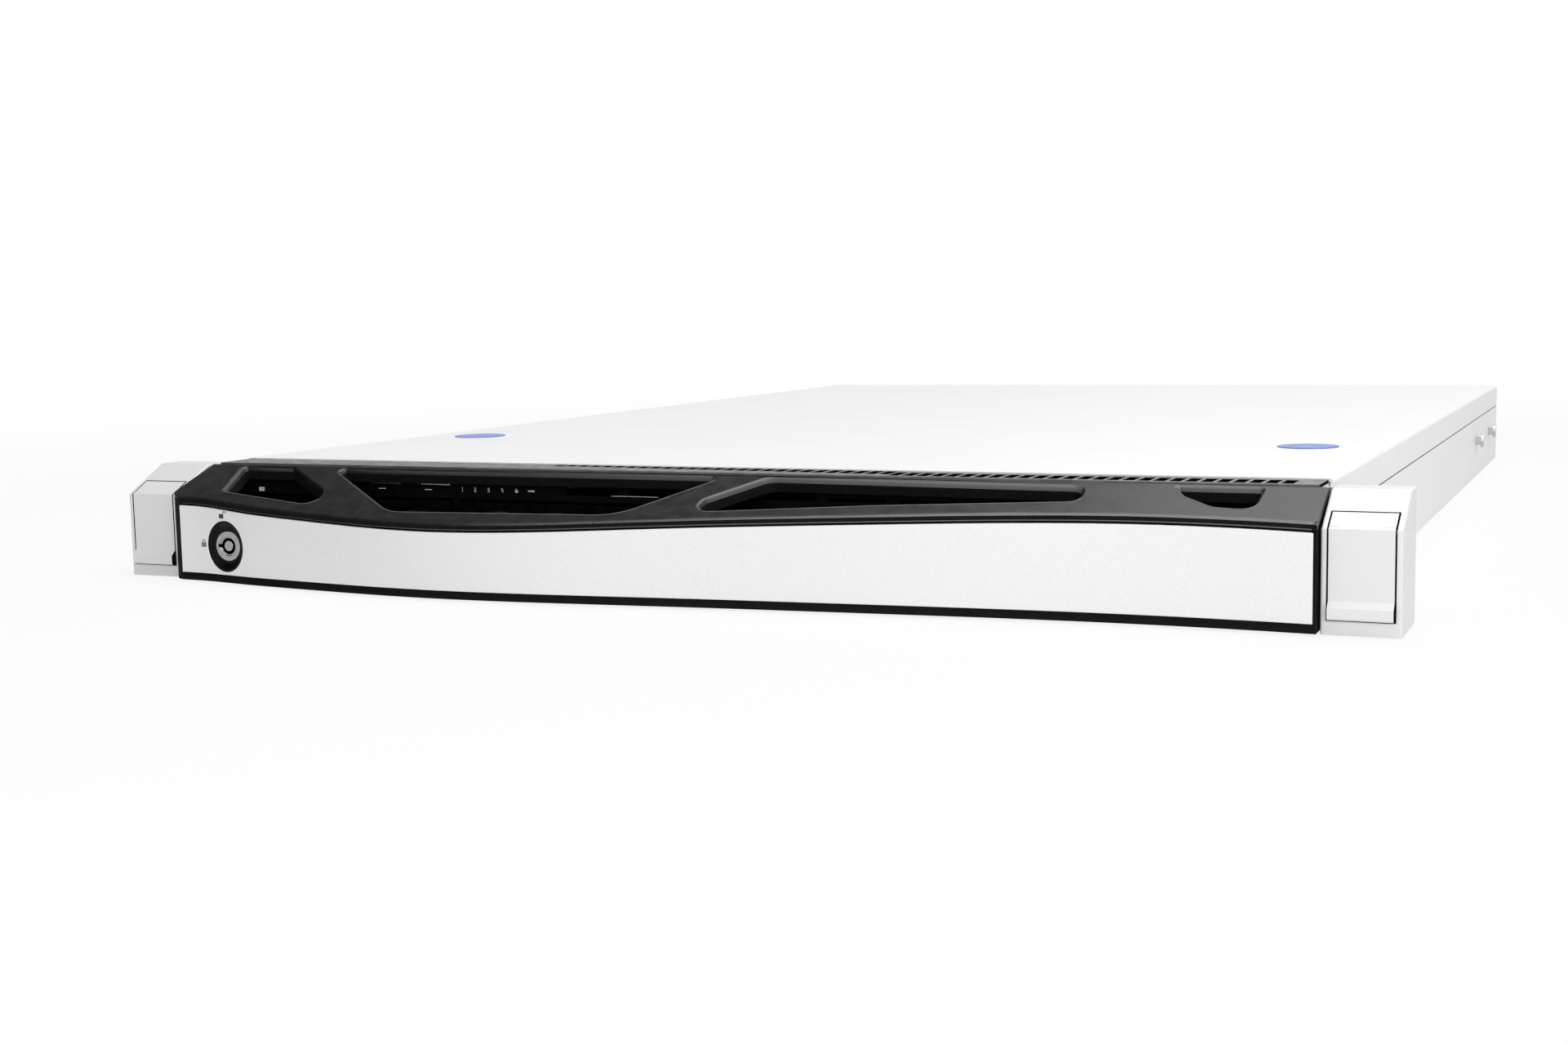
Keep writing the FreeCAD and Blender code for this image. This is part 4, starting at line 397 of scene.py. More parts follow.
# %% Helpers for pieces
WELD = 0.002 * MM            # corners nearer than this are one corner
NEAR = 0.03 * MM             # a point this near to a line or level lies on it
SHARP = math.radians(25)


def merged_copy(node):
    """An editable copy of a node: triangles joined, flat areas made one face each."""
    body = bmesh.new()
    body.from_mesh(frame["nodes"][node].data)
    bmesh.ops.remove_doubles(body, verts=body.verts, dist=WELD)
    bmesh.ops.dissolve_limit(body, angle_limit=math.radians(0.4), verts=body.verts,
                             edges=body.edges)
    return body


def soften(body, width, pick, rounds=2):
    """Rounds off the picked edges, where they are sharp, and counts them."""
    edges = [edge for edge in body.edges if len(edge.link_faces) == 2
             and edge.calc_face_angle(0) > SHARP and pick(edge)]
    if edges:
        bmesh.ops.bevel(body, geom=edges, offset=width, offset_type="OFFSET", segments=rounds,
                        profile=0.5, affect="EDGES", clamp_overlap=True)
    return len(edges)


def show_mesh(name, mesh, finish, smooth_angle=32):
    """Shows a mesh in one finish, smooth except over its sharp edges."""
    for face in mesh.polygons:
        face.use_smooth = True
    mesh.set_sharp_from_angle(angle=math.radians(smooth_angle))
    mesh.materials.clear()
    mesh.materials.append(finish)
    piece = show(name, mesh)
    piece.modifiers.new("weighted_normals", "WEIGHTED_NORMAL").keep_sharp = True
    return piece


def make_piece(name, body, finish, smooth_angle=32):
    """Shows an editable mesh, which is used up by it."""
    mesh = bpy.data.meshes.new(name)
    body.to_mesh(mesh)
    body.free()
    return show_mesh(name, mesh, finish, smooth_angle)


def second_finish(piece, finish, pick):
    """Gives the picked faces of a piece another finish, and tells how many there are."""
    piece.data.materials.append(finish)
    chosen = [face for face in piece.data.polygons if pick(face)]
    for face in chosen:
        face.material_index = len(piece.data.materials) - 1
    print(piece.name, "faces in", finish.name, len(chosen))


def body_of(node):
    return frame["nodes"][node]["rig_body"]


def stand_in(piece, node):
    """The piece takes the node's place: same body, and the node is hidden."""
    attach(piece, body_of(node))
    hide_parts(node)


def ride_new(piece, body_node):
    """A new piece rides on the body of a node."""
    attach(piece, body_of(body_node))


def dressed(node, width, pick=lambda edge: True, rounds=2):
    """A softened stand-in for a node, in the node's own finish."""
    body = merged_copy(node)
    count = soften(body, width, pick, rounds)
    piece = make_piece(node + "_soft", body, FINISH_OF[node])
    print(piece.name, "edges softened", count, "faces", len(piece.data.polygons))
    stand_in(piece, node)
    return piece


print("piece helpers ready")

# %% [markdown]
# The bezel's front is a wave: it swells towards the viewer on the left and sinks
# back on the right.  The engineering mesh already holds that line in the corners
# of its lower edge.  A smooth cubic curve through those corners gives the depth
# at any place across, and everything that follows the wave asks this one curve.

# %% The wave as a curve
CORNER_RADIUS = 7.5 * MM     # of the bezel's rounded left end, seen from above
WAVE_BACK = -33 * MM         # every corner of the wave lies in front of this depth
BEZEL_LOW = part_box("bezel_frame")[0]


def wave_corners():
    """Corners of the bezel's lower front edge, from left to right, as (x, y)."""
    found = {}
    for vertex in frame["nodes"]["bezel_frame"].data.vertices:
        x, y, z = vertex.co
        on_wave = BEZEL_LOW.x + CORNER_RADIUS - NEAR < x and y < WAVE_BACK
        if abs(z - BEZEL_LOW.z) < NEAR and on_wave:
            found[round(x, 5)] = y
    return sorted(found.items())


def cubic_through(points):
    """A natural cubic curve through (x, y) points; returns a function of x."""
    xs, ys = zip(*points)
    count = len(xs)
    gaps = [xs[i + 1] - xs[i] for i in range(count - 1)]
    upper = [0.0] * count
    value = [0.0] * count
    for i in range(1, count - 1):
        rise = 6 * ((ys[i + 1] - ys[i]) / gaps[i] - (ys[i] - ys[i - 1]) / gaps[i - 1])
        pivot = 2 * (gaps[i - 1] + gaps[i]) - gaps[i - 1] * upper[i - 1]
        upper[i] = gaps[i] / pivot
        value[i] = (rise - gaps[i - 1] * value[i - 1]) / pivot
    bend = [0.0] * count
    for i in range(count - 2, 0, -1):
        bend[i] = value[i] - upper[i] * bend[i + 1]

    def curve(x):
        i = max(0, min(count - 2, sum(1 for knot in xs[1:-1] if knot <= x)))
        left, right, gap = x - xs[i], xs[i + 1] - x, gaps[i]
        return (bend[i] * right ** 3 + bend[i + 1] * left ** 3) / (6 * gap) \
            + (ys[i] / gap - bend[i] * gap / 6) * right \
            + (ys[i + 1] / gap - bend[i + 1] * gap / 6) * left

    return curve


corners = wave_corners()
wave = cubic_through(corners)
CREST_Y = -13.1 * MM         # depth and height of the slope's rear edge
CREST_Z = 42.5 * MM
SLOPE = 0.375                # rise of the slope for each unit of depth


def slope_z(y):
    """Height of the bezel's slope at a depth."""
    return CREST_Z + (y - CREST_Y) * SLOPE


print("wave corners", len(corners), "deepest", round(min(y for _, y in corners), 4))

# %% [markdown]
# Geometry Nodes suit work that repeats or follows a rule, because the sizes stay
# as named inputs of the tree.  One function opens a tree with an input for each
# value, lets a builder fill it, closes it and turns the result into a plain mesh.

# %% Helpers for geometry trees
KINDS = {float: "Float", int: "Int", tuple: "Vector"}


def geo(tree, kind, *wires, **settings):
    """What a geometry node of the kind puts out first."""
    return add_node(tree, "GeometryNode" + kind, wires, **settings).outputs[0]


def joined(tree, *forms):
    both = add_node(tree, "GeometryNodeJoinGeometry")
    for form in forms:
        tree.links.new(form, both.inputs[0])
    return both.outputs[0]


def grow(base, tree_name, build, values, finish):
    """A mesh that a tree makes of a base; build(tree, given) returns the tree's form."""
    tree = bpy.data.node_groups.new(tree_name, "GeometryNodeTree")
    add_socket = tree.interface.new_socket
    add_socket("Geometry", in_out="INPUT", socket_type="NodeSocketGeometry")
    inputs = {label: add_socket(label, in_out="INPUT", socket_type="NodeSocket"
                                + KINDS[type(value)]).identifier
              for label, value in values.items()}
    add_socket("Geometry", in_out="OUTPUT", socket_type="NodeSocketGeometry")
    form = build(tree, add_node(tree, "NodeGroupInput").outputs)
    real = geo(tree, "RealizeInstances", ("Geometry", form))
    painted = geo(tree, "SetMaterial", ("Geometry", real), ("Material", finish))
    add_node(tree, "NodeGroupOutput", [("Geometry", painted)])

    holder = show("holder", base)
    modifier = holder.modifiers.new("tree", "NODES")
    modifier.node_group = tree
    for label, identifier in inputs.items():
        modifier[identifier] = values[label]
    seen = bpy.context.evaluated_depsgraph_get()
    mesh = bpy.data.meshes.new_from_object(holder.evaluated_get(seen))
    bpy.data.objects.remove(holder)
    return mesh


def grown_piece(name, tree_name, base, build, values, finish, body_node, smooth_angle=30):
    """A new piece that a tree makes, on the body of a node."""
    mesh = grow(base, tree_name, build, values, finish)
    ride_new(show_mesh(name, mesh, finish, smooth_angle), body_node)
    print(name, "base points", len(base.vertices), "faces", len(mesh.polygons))


def bare_mesh(points, edges=()):
    """Points, and the lines between them, for a tree to work on."""
    mesh = bpy.data.meshes.new("base")
    mesh.from_pydata(points, edges, [])
    return mesh


def chain(points):
    """A bare line through the points."""
    return bare_mesh(points, [(i, i + 1) for i in range(len(points) - 1)])


print("tree helpers ready")

# %% [markdown]
# The face plate is a strip of sheet bent to the wave, level at the bottom and cut
# at the top a little below the bezel's slope.  It could be modelled by hand, but a
# rule does it exactly: the tree takes the wave as a bare line, pulls it up into a
# ribbon, trims the top to the slope, gives it thickness and drills the lock hole.

# %% Face plate tree
def plate_form(tree, given):
    ribbon = geo(tree, "ExtrudeMesh", ("Mesh", given["Geometry"]), ("Offset", xyz(tree, Z=1.0)),
                 ("Offset Scale", 1 * MM), mode="EDGES")
    parts = add_node(tree, "ShaderNodeSeparateXYZ",
                     [("Vector", geo(tree, "InputPosition"))]).outputs
    run = maths(tree, "SUBTRACT", parts["Y"], given["Crest Y"])
    slope = maths(tree, "MULTIPLY_ADD", run, given["Slope"], given["Crest Z"])
    top = maths(tree, "SUBTRACT", slope, given["Top Drop"])
    trimmed = geo(tree, "SetPosition", ("Geometry", ribbon),
                  ("Selection", ribbon.node.outputs["Top"]),
                  ("Position", xyz(tree, X=parts["X"], Y=parts["Y"], Z=top)))
    back = geo(tree, "ExtrudeMesh", ("Mesh", trimmed), ("Offset", xyz(tree, Y=given["Thickness"])),
               ("Individual", False), mode="FACES")
    front = geo(tree, "FlipFaces", ("Mesh", trimmed))
    closed = geo(tree, "MergeByDistance", ("Geometry", joined(tree, back, front)),
                 ("Distance", 0.005 * MM))
    drill = geo(tree, "MeshCylinder", ("Vertices", 96), ("Radius", given["Hole Radius"]),
                ("Depth", 40 * MM))
    turned = geo(tree, "Transform", ("Geometry", drill), ("Translation", given["Hole Place"]),
                 ("Rotation", (math.pi / 2, 0, 0)))
    return geo(tree, "MeshBoolean", ("Mesh 1", closed), ("Mesh 2", turned),
               operation="DIFFERENCE")


lock_low, lock_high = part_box("lock_core")
LOCK_X = (lock_low.x + lock_high.x) / 2
LOCK_Z = (lock_low.z + lock_high.z) / 2
plate_low, plate_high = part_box("bezel_plate")
TOP_DROP = 2.9 * MM          # from the slope down to the plate's top edge
PLATE_LEFT = -209.1 * MM
PLATE_RIGHT = 215.9 * MM
PLATE_STEPS = 210
PLATE_THICK = 1.0 * MM
HOLE_RADIUS = 9.7 * MM       # of the round hole for the lock
across = [PLATE_LEFT + (PLATE_RIGHT - PLATE_LEFT) * i / PLATE_STEPS
          for i in range(PLATE_STEPS + 1)]
wave_line = chain([(x, wave(x), plate_low.z) for x in across])
plate_mesh = grow(wave_line, "plate_on_the_wave", plate_form, {
    "Top Drop": TOP_DROP, "Crest Y": CREST_Y, "Crest Z": CREST_Z, "Slope": SLOPE,
    "Thickness": PLATE_THICK, "Hole Radius": HOLE_RADIUS,
    "Hole Place": (LOCK_X, wave(LOCK_X), LOCK_Z)}, PLATE_SILVER)
print("plate faces", len(plate_mesh.polygons), "box", [round(v, 4) for v in plate_low])

# %% [markdown]
# The plate's rim is sheared and lightly deburred, so it gets a tiny bevel.  The
# bevel modifier works by angle and leaves the wave itself alone.

# %% Face plate piece
plate = show_mesh("face_plate", plate_mesh, PLATE_SILVER)
rim = plate.modifiers.new("deburred_rim", "BEVEL")
rim.width = 0.15 * MM
rim.segments = 2
rim.limit_method = "ANGLE"
rim.angle_limit = math.radians(40)
plate.modifiers.move(1, 0)
stand_in(plate, "bezel_plate")
print("plate on body", body_of("bezel_plate"), "steps", [m.name for m in plate.modifiers])

# %% [markdown]
# The bezel shell starts from the engineering shape.  A fine groove runs along the
# front just above the plate; it is cut with a thin tube that follows the wave.
# The tube, like every other plain form here, is a skin drawn over rings of points.

# %% Groove along the lip
GROOVE_RADIUS = 0.30 * MM
LIP_LEFT = -208.5 * MM
LIP_RIGHT = 217.5 * MM
LIP_STEPS = 260


def lip_line(drop, sink, left=LIP_LEFT, right=LIP_RIGHT):
    """Points along the bezel's front, a drop below its slope and sunk a little into it."""
    found = []
    for i in range(LIP_STEPS + 1):
        x = left + (right - left) * i / LIP_STEPS
        here = min(x, plate_high.x)
        lean = (wave(here + MM) - wave(here - MM)) / (2 * MM)
        y_front = wave(here) + lean * (x - here)
        found.append(Vector((x, y_front + sink, slope_z(y_front) - drop)))
    return found


def full_turn(sides):
    return [2 * math.pi * k / sides for k in range(sides)]


def skin(rings, loop=False, body=None):
    """A closed skin over rings of points: a row with two caps, or a loop of rings."""
    if body is None:
        body = bmesh.new()
    rings = [[body.verts.new(point) for point in ring] for ring in rings]
    for ring, after in zip(rings, rings[1:] + rings[:1] if loop else rings[1:]):
        for k in range(len(ring)):
            beside = (k + 1) % len(ring)
            body.faces.new((ring[k], ring[beside], after[beside], after[k]))
    if not loop:
        body.faces.new(rings[0][::-1])
        body.faces.new(rings[-1])
    bmesh.ops.recalc_face_normals(body, faces=body.faces)
    return body


def tube(points, radius, sides=10):
    section = [Vector((0, radius * math.cos(a), radius * math.sin(a))) for a in full_turn(sides)]
    return skin([[point + corner for corner in section] for point in points])


def carve(body, cutter):
    """Cuts one editable mesh with another and returns the result."""
    carved, tool = [show(name, bpy.data.meshes.new(name)) for name in ("carved", "cutter")]
    for item, part in ((carved, body), (tool, cutter)):
        part.to_mesh(item.data)
        part.free()
    cut = carved.modifiers.new("cut", "BOOLEAN")
    cut.operation = "DIFFERENCE"
    cut.solver = "EXACT"
    cut.object = tool
    seen = bpy.context.evaluated_depsgraph_get()
    result = bmesh.new()
    result.from_mesh(carved.evaluated_get(seen).to_mesh())
    for item in (carved, tool):
        bpy.data.objects.remove(item)
    return result


groove = tube(lip_line(TOP_DROP - GROOVE_RADIUS, 0), GROOVE_RADIUS)
shell = carve(merged_copy("bezel_frame"), groove)
print("shell faces after the groove", len(shell.faces))

# %% [markdown]
# Seen from above, the bezel's left corner turns in a rounder bend than in the
# engineering shape.  A block whose inner side is that bend cuts the rest away, so
# the corner stays inside the old one.

# %% Rounder left corner
END_RADIUS = 10.5 * MM
BEND_DEGREES = 79            # where the bend meets the wave
BEND_COSINE, BEND_SINE = 0.19, 0.982
BEND_STEPS = 16
CLEAR = 5 * MM               # how far the block reaches past the bezel
BLOCK_TOP = 60 * MM


def corner_cutter():
    """The space outside a rounder left corner, from the floor to above the bezel."""
    centre_x = BEZEL_LOW.x + END_RADIUS
    touch_x = centre_x - BEND_COSINE * END_RADIUS
    centre_y = wave(touch_x) + BEND_SINE * END_RADIUS
    turns = [math.radians(180 + BEND_DEGREES * k / BEND_STEPS) for k in range(BEND_STEPS + 1)]
    outline = [(centre_x + END_RADIUS * math.cos(t), centre_y + END_RADIUS * math.sin(t))
               for t in turns]
    far_x, far_y = BEZEL_LOW.x - CLEAR, centre_y - 2 * END_RADIUS
    outline += [(touch_x, far_y), (far_x, far_y), (far_x, centre_y)]
    return skin([[(x, y, z) for x, y in outline] for z in (-CLEAR, BLOCK_TOP)])


shell = carve(shell, corner_cutter())
print("shell faces after the corner", len(shell.faces))

# %% [markdown]
# The rims of the four air openings and the lower edge are rounded, as every edge of
# a moulding is.  Before that, the rims on the viewer's side are noted down, because
# a bead painted light grey as a highlight will follow the place where their turn begins.

# %% Rims and lower edge of the shell
RIM_ROUND = 0.9 * MM
LOWER_ROUND = 0.7 * MM
BEAD_BACK = 0.92 * RIM_ROUND     # from the old edge to the start of the turn
NEAR_FACING = 0.15               # a wall that faces back by this much is on the near side


def on_slope(point):
    return abs(point.z - slope_z(point.y)) < NEAR and point.y < CREST_Y + NEAR


def on_opening_rim(edge):
    """Edges between the slope and the leaning wall of an air opening."""
    if not all(on_slope(vertex.co) for vertex in edge.verts):
        return False
    walls = [face for face in edge.link_faces if abs(face.normal.z) < 0.7]
    return bool(walls) and all(abs(face.normal.x) < 0.9999 for face in walls)


def near_rim_path():
    """Points and joins along the rims on the viewer's side, where their turn begins."""
    places, joins = {}, []
    for edge in shell.edges:
        if len(edge.link_faces) != 2 or not on_opening_rim(edge):
            continue
        wall = min(edge.link_faces, key=lambda face: abs(face.normal.z))
        if wall.normal.y < NEAR_FACING:
            continue
        joins.append([tuple(round(v, 6) for v in vertex.co) for vertex in edge.verts])
        for key in joins[-1]:
            places.setdefault(key, []).append(Vector((wall.normal.x, wall.normal.y, 0)))
    keys = sorted(places)
    points = []
    for key in keys:
        back = -BEAD_BACK * sum(places[key], Vector()).normalized()
        points.append(Vector(key) + back + Vector((0, 0, back.y * SLOPE)))
    return points, [(keys.index(a), keys.index(b)) for a, b in joins]


def on_lower_edge(edge):
    return all(vertex.co.z < BEZEL_LOW.z + NEAR and vertex.co.y < -20 * MM
               for vertex in edge.verts)


rim_points, rim_joins = near_rim_path()
print("near rims", len(rim_points), "points", len(rim_joins), "joins")
print("opening rims", soften(shell, RIM_ROUND, on_opening_rim, 4))
print("lower edge", soften(shell, LOWER_ROUND, on_lower_edge, 3))

# %% [markdown]
# Only what faces up catches light.  Two millimetres under the slope the walls of
# the openings are painted black as shade, and so are the front band under the lip
# and the ends.  The shell is split along planes at such depths, and the faces beyond
# take the painted shade black.  The lit tops of the walls and the lip's turn are
# painted greyer as highlights, the lip lighter towards the right end.

# %% Painted shade and highlights under the slope
SLOPE_UP = Vector((0, -SLOPE, 1)).normalized()
CREST = Vector((0, CREST_Y, CREST_Z))
LIT_DEPTH = 1.9 * MM         # the walls of the openings catch light down to this depth
LIP_DEPTH = 0.55 * MM        # the lip's turn starts and ends at these depths
LIP_START = 0.16 * MM
LIP_REACH = 2.4 * MM         # how far the lip goes back from the wave
WALLS_LOW = 31 * MM          # the openings' walls lie above this height


def split(body, spot, direction):
    """Cuts the faces of an editable mesh along a plane and keeps both sides."""
    bmesh.ops.bisect_plane(body, geom=body.verts[:] + body.edges[:] + body.faces[:],
                           plane_co=spot, plane_no=direction)


def depth_below(point):
    """How far a point lies under the plane of the slope."""
    return (CREST - point).dot(SLOPE_UP)


def at_lip(spot):
    return spot.y < wave(max(plate_low.x, min(plate_high.x, spot.x))) + LIP_REACH


def in_the_dark(face):
    spot = face.center
    inside = depth_below(spot) > LIT_DEPTH and spot.z > WALLS_LOW
    on_front = at_lip(spot) and depth_below(spot) > LIP_DEPTH
    at_end = abs(face.normal.x) > 0.9
    return inside or on_front or at_end


def in_the_light(spot):
    return LIP_START < depth_below(spot) < LIT_DEPTH and spot.z > WALLS_LOW and not at_lip(spot)


def on_side_wall(face):
    """The lit top of the walls that face to the right."""
    return in_the_light(face.center) and face.normal.x > 0.45


def on_lip_line(face):
    """The line where the lip turns, and the lit top of the walls that face forward."""
    turning = at_lip(face.center) and LIP_START < depth_below(face.center) < LIP_DEPTH
    return turning or (in_the_light(face.center) and face.normal.y < -0.6)


for depth in (LIP_START, LIP_DEPTH, LIT_DEPTH):
    split(shell, CREST - SLOPE_UP * depth, SLOPE_UP)
shell_piece = make_piece("bezel_shell", shell, BEZEL_BLACK, 40)
# Painted shade on the deep walls, the front band and the ends; painted highlights on the lit wall
# tops and the lip's turn.
for finish, pick in ((SHADE_PAINT_BLACK, in_the_dark), (WALL_TOP_HIGHLIGHT_PAINT, on_side_wall),
                     (LIP_HIGHLIGHT_PAINT, on_lip_line)):
    second_finish(shell_piece, finish, pick)
stand_in(shell_piece, "bezel_frame")

# %% [markdown]
# A hair-thin bead runs above the groove, and another one along the openings' rims on
# the viewer's side.  Both follow a path, so one small node tree makes them: the
# path is turned into a curve and a round section is swept along it.  Their colours
# are painted highlights: the lip bead grows lighter towards the right end, and the
# rim beads are light grey.

# %% Beads above the plate and along the rims
BEAD_DROP = 1.95 * MM        # from the slope down to the bead
BEAD_SINK = 0.03 * MM
BEAD_LEFT = -207.5 * MM
BEAD_RIGHT = 215.3 * MM


def rod(tree, given):
    """A round rod along a line of vertices; its radius is an input."""
    path = geo(tree, "MeshToCurve", ("Mesh", given["Geometry"]))
    ring = geo(tree, "CurvePrimitiveCircle", ("Resolution", 10), ("Radius", given["Radius"]))
    return geo(tree, "CurveToMesh", ("Curve", path), ("Profile Curve", ring),
               ("Fill Caps", True))


lip_path = chain(lip_line(BEAD_DROP, BEAD_SINK, BEAD_LEFT, BEAD_RIGHT))
rim_path = bare_mesh(rim_points, rim_joins)
# The beads' colours are painted highlights.
for name, path, tree_name, finish, radius in (
        ("lip_bead", lip_path, "bead_along_the_lip", BEAD_HIGHLIGHT_PAINT, 0.20 * MM),
        ("rim_beads", rim_path, "bead_along_the_rims", RIM_BEAD_HIGHLIGHT_PAINT, 0.11 * MM)):
    grown_piece(name, tree_name, path, rod, {"Radius": radius}, finish, "bezel_frame",
                60)

# %% [markdown]
# The lock sits in a black ring that follows the bezel's bulge and slopes inwards
# like a funnel.  A lathe makes it: a profile turned about the lock's axis, with
# its front then leaned back so that it stays level with the curved plate.

# %% Lathe helper and lock ring
def lathe(profile, centre, sides=96):
    """A closed solid of (radius, depth) corners turned about an axis along Y."""
    return skin([[(centre.x + radius * math.cos(a), centre.y + depth,
                   centre.z + radius * math.sin(a)) for a in full_turn(sides)]
                 for radius, depth in profile], loop=True)


ring_front = wave(LOCK_X)
RING_PROFILE = [(9.68, 3.1), (9.68, 0.25), (9.55, 0.02), (9.30, -0.06), (8.95, 0.02),
                (8.75, 0.22), (7.00, 1.75), (6.80, 1.85), (5.75, 1.85), (5.75, 4.3),
                (11.1, 4.3), (11.1, 3.25), (9.68, 3.25)]     # radius and depth in mm
LEAN_DEPTH = 3.0 * MM
ring_body = lathe([(r * MM, d * MM) for r, d in RING_PROFILE],
                  Vector((LOCK_X, ring_front, LOCK_Z)))
for vertex in ring_body.verts:
    share = 1 - max(0.0, min(1.0, (vertex.co.y - ring_front) / LEAN_DEPTH))
    vertex.co.y += share * (wave(vertex.co.x) - ring_front)
stand_in(make_piece("lock_ring", ring_body, RING_BLACK_AND_SLOT_SHADE, 50), "lock_sleeve")
print("lock ring corners", len(RING_PROFILE))

# %% [markdown]
# The barrel and the turning core are plated metal with broken edges.  The core's
# ring-shaped key slot is already in the engineering mesh, so softened copies do.
# The front of the barrel is drawn in a little, which shows more of the ring.  The key
# slot's walls and floor are painted black as shade.

# %% Lock barrel and core
BARREL_SHARE = 0.91
BARREL_REACH = 1.2 * MM
SLOT_START = 0.3 * MM        # the key slot's walls and floor lie deeper than this


def near_front(node):
    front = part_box(node)[0].y
    return lambda edge: all(vertex.co.y < front + NEAR for vertex in edge.verts)


barrel = dressed("lock_barrel", 0.28 * MM, near_front("lock_barrel"), 3)
barrel_front = min(vertex.co.y for vertex in barrel.data.vertices)
for vertex in barrel.data.vertices:
    if vertex.co.y < barrel_front + BARREL_REACH:
        vertex.co.x = LOCK_X + BARREL_SHARE * (vertex.co.x - LOCK_X)
        vertex.co.z = LOCK_Z + BARREL_SHARE * (vertex.co.z - LOCK_Z)
core = dressed("lock_core", 0.18 * MM, near_front("lock_core"), 3)
# Painted shade: the key slot's walls and floor are black.
second_finish(core, RING_BLACK_AND_SLOT_SHADE, lambda face: lock_low.y + SLOT_START < face.center.y)
for node in ("lock_nut", "lock_cam"):
    dressed(node, 0.15 * MM)

# %% [markdown]
# The ears are moulded shells with a hinged flap each.  The flap's edges and its
# lifting lip are rounded, and so is the window round it.  The narrow walls between
# the two are painted black as shade, which gives the flap its thin dark outline.

# %% Ears, flaps and their hardware
MOULDED = 0.22 * MM          # rounding of a moulded edge
WINDOW_NEAR = 1.0 * MM
SIDE_NEAR = 0.3 * MM         # a flap's narrow edges, and the front turn they leave out
TURN_DEPTH = 0.4 * MM


def outside(edge):
    return all(vertex.co.y < -3 * MM for vertex in edge.verts)


def window_wall(low, high):
    """Picks the walls of an ear's window, which face the edges of the flap."""
    def pick(face):
        for axis, other, least in ((0, 2, 0.8), (2, 0, 0.5)):
            spot, turn = face.center[axis], face.normal[axis]
            faces_in = (abs(spot - low[axis]) < WINDOW_NEAR and turn > least) or (
                abs(spot - high[axis]) < WINDOW_NEAR and turn < -least)
            beside = low[other] - WINDOW_NEAR < face.center[other] < high[other] + WINDOW_NEAR
            if faces_in and beside:
                return True
        return False
    return pick


def flap_wall(low, high):
    """Picks the narrow edges of a flap, which face the walls of the window."""
    def pick(face):
        spot = face.center
        at_side = min(spot.x - low.x, high.x - spot.x) < SIDE_NEAR and abs(face.normal.x) > 0.9
        return at_side and spot.y > low.y + TURN_DEPTH
    return pick


for side in ("right", "left"):
    flap_low, flap_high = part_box("ear_flap_" + side)
    housing = dressed("ear_housing_" + side, MOULDED, outside)
    # Painted shade: the window's walls and the flap's narrow edges are black.
    second_finish(housing, SHADE_PAINT_BLACK, window_wall(flap_low, flap_high))
    flap = dressed("ear_flap_" + side, MOULDED)
    second_finish(flap, SHADE_PAINT_BLACK, flap_wall(flap_low, flap_high))
    dressed("ear_bracket_" + side, 0.20 * MM)
    dressed("rack_screw_" + side, 0.12 * MM)
for node in ("flap_pins", "rail_studs"):
    dressed(node, 0.20 * MM)

# %% [markdown]
# The two push pads of the cover are printed films.  They are drawn a little smaller
# than the engineering shape, each about its own middle.

# %% Push pads
PAD_SHARE = 0.92
pads = dressed("cover_push_pads", 0.20 * MM)
pad_low, pad_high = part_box("cover_push_pads")
pad_radius = (pad_high.y - pad_low.y) / 2
for vertex in pads.data.vertices:
    centre_x = pad_high.x - pad_radius if vertex.co.x > 0 else pad_low.x + pad_radius
    centre_y = pad_low.y + pad_radius
    vertex.co.x = centre_x + PAD_SHARE * (vertex.co.x - centre_x)
    vertex.co.y = centre_y + PAD_SHARE * (vertex.co.y - centre_y)

# %% [markdown]
# Case sheets are cut and bent, so their edges are small but not sharp.  Some sheets
# get a second finish: the pan's front rim is bare zinc, darkened as painted shade like
# the strip above it, the walls of the strip's slots and the front of the drive cage
# are painted black as shade, and the port inserts are dark plastic.

# %% Case sheets and what shows through the openings
PAN_RIM_END = 7.4 * MM       # the pan's front rim, bare zinc darkened as painted shade, lies before this depth
PAN_RIM_LOW = 36 * MM        # and above this height
SHEET_EDGE = 0.12 * MM
SLOT_TURN = 0.4 * MM         # the strip's own edges, which stay zinc
INSERT_DEPTH = 10 * MM       # port faces deeper than this are inserts
CAGE_FRONT = 2 * MM
TRAY_EDGE = 0.30 * MM
SHEETS = ["chassis_pan", "top_cover", "front_top_strip", "rear_panel", "slot_cover",
          "control_strip", "power_button", "reset_button", "status_lenses"]
TRAYS = numbered("drive_tray_") + ["tray_levers", "hard_drives"]
BLOCKS = ["usb_shells", "power_inlet", "power_supply", "air_duct", "rear_ports"]
sheets = {node: dressed(node, TRAY_EDGE if node in TRAYS else SHEET_EDGE)
          for node in SHEETS + TRAYS + BLOCKS}
cage = dressed("drive_cage", 0.10 * MM)

cover_low, cover_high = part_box("top_cover")
pan_body = bmesh.new()
pan_body.from_mesh(sheets["chassis_pan"].data)
split(pan_body, Vector((0, cover_low.y - 0.1 * MM, 0)), Vector((0, 1, 0)))
pan_body.to_mesh(sheets["chassis_pan"].data)
pan_body.free()
# The pan's front rim takes the strip's darker zinc, as painted shade.
second_finish(sheets["chassis_pan"], STRIP_ZINC_SHADE_PAINT, lambda face: face.center.y < PAN_RIM_END
              and face.center.z > PAN_RIM_LOW)
strip_low, strip_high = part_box("front_top_strip")
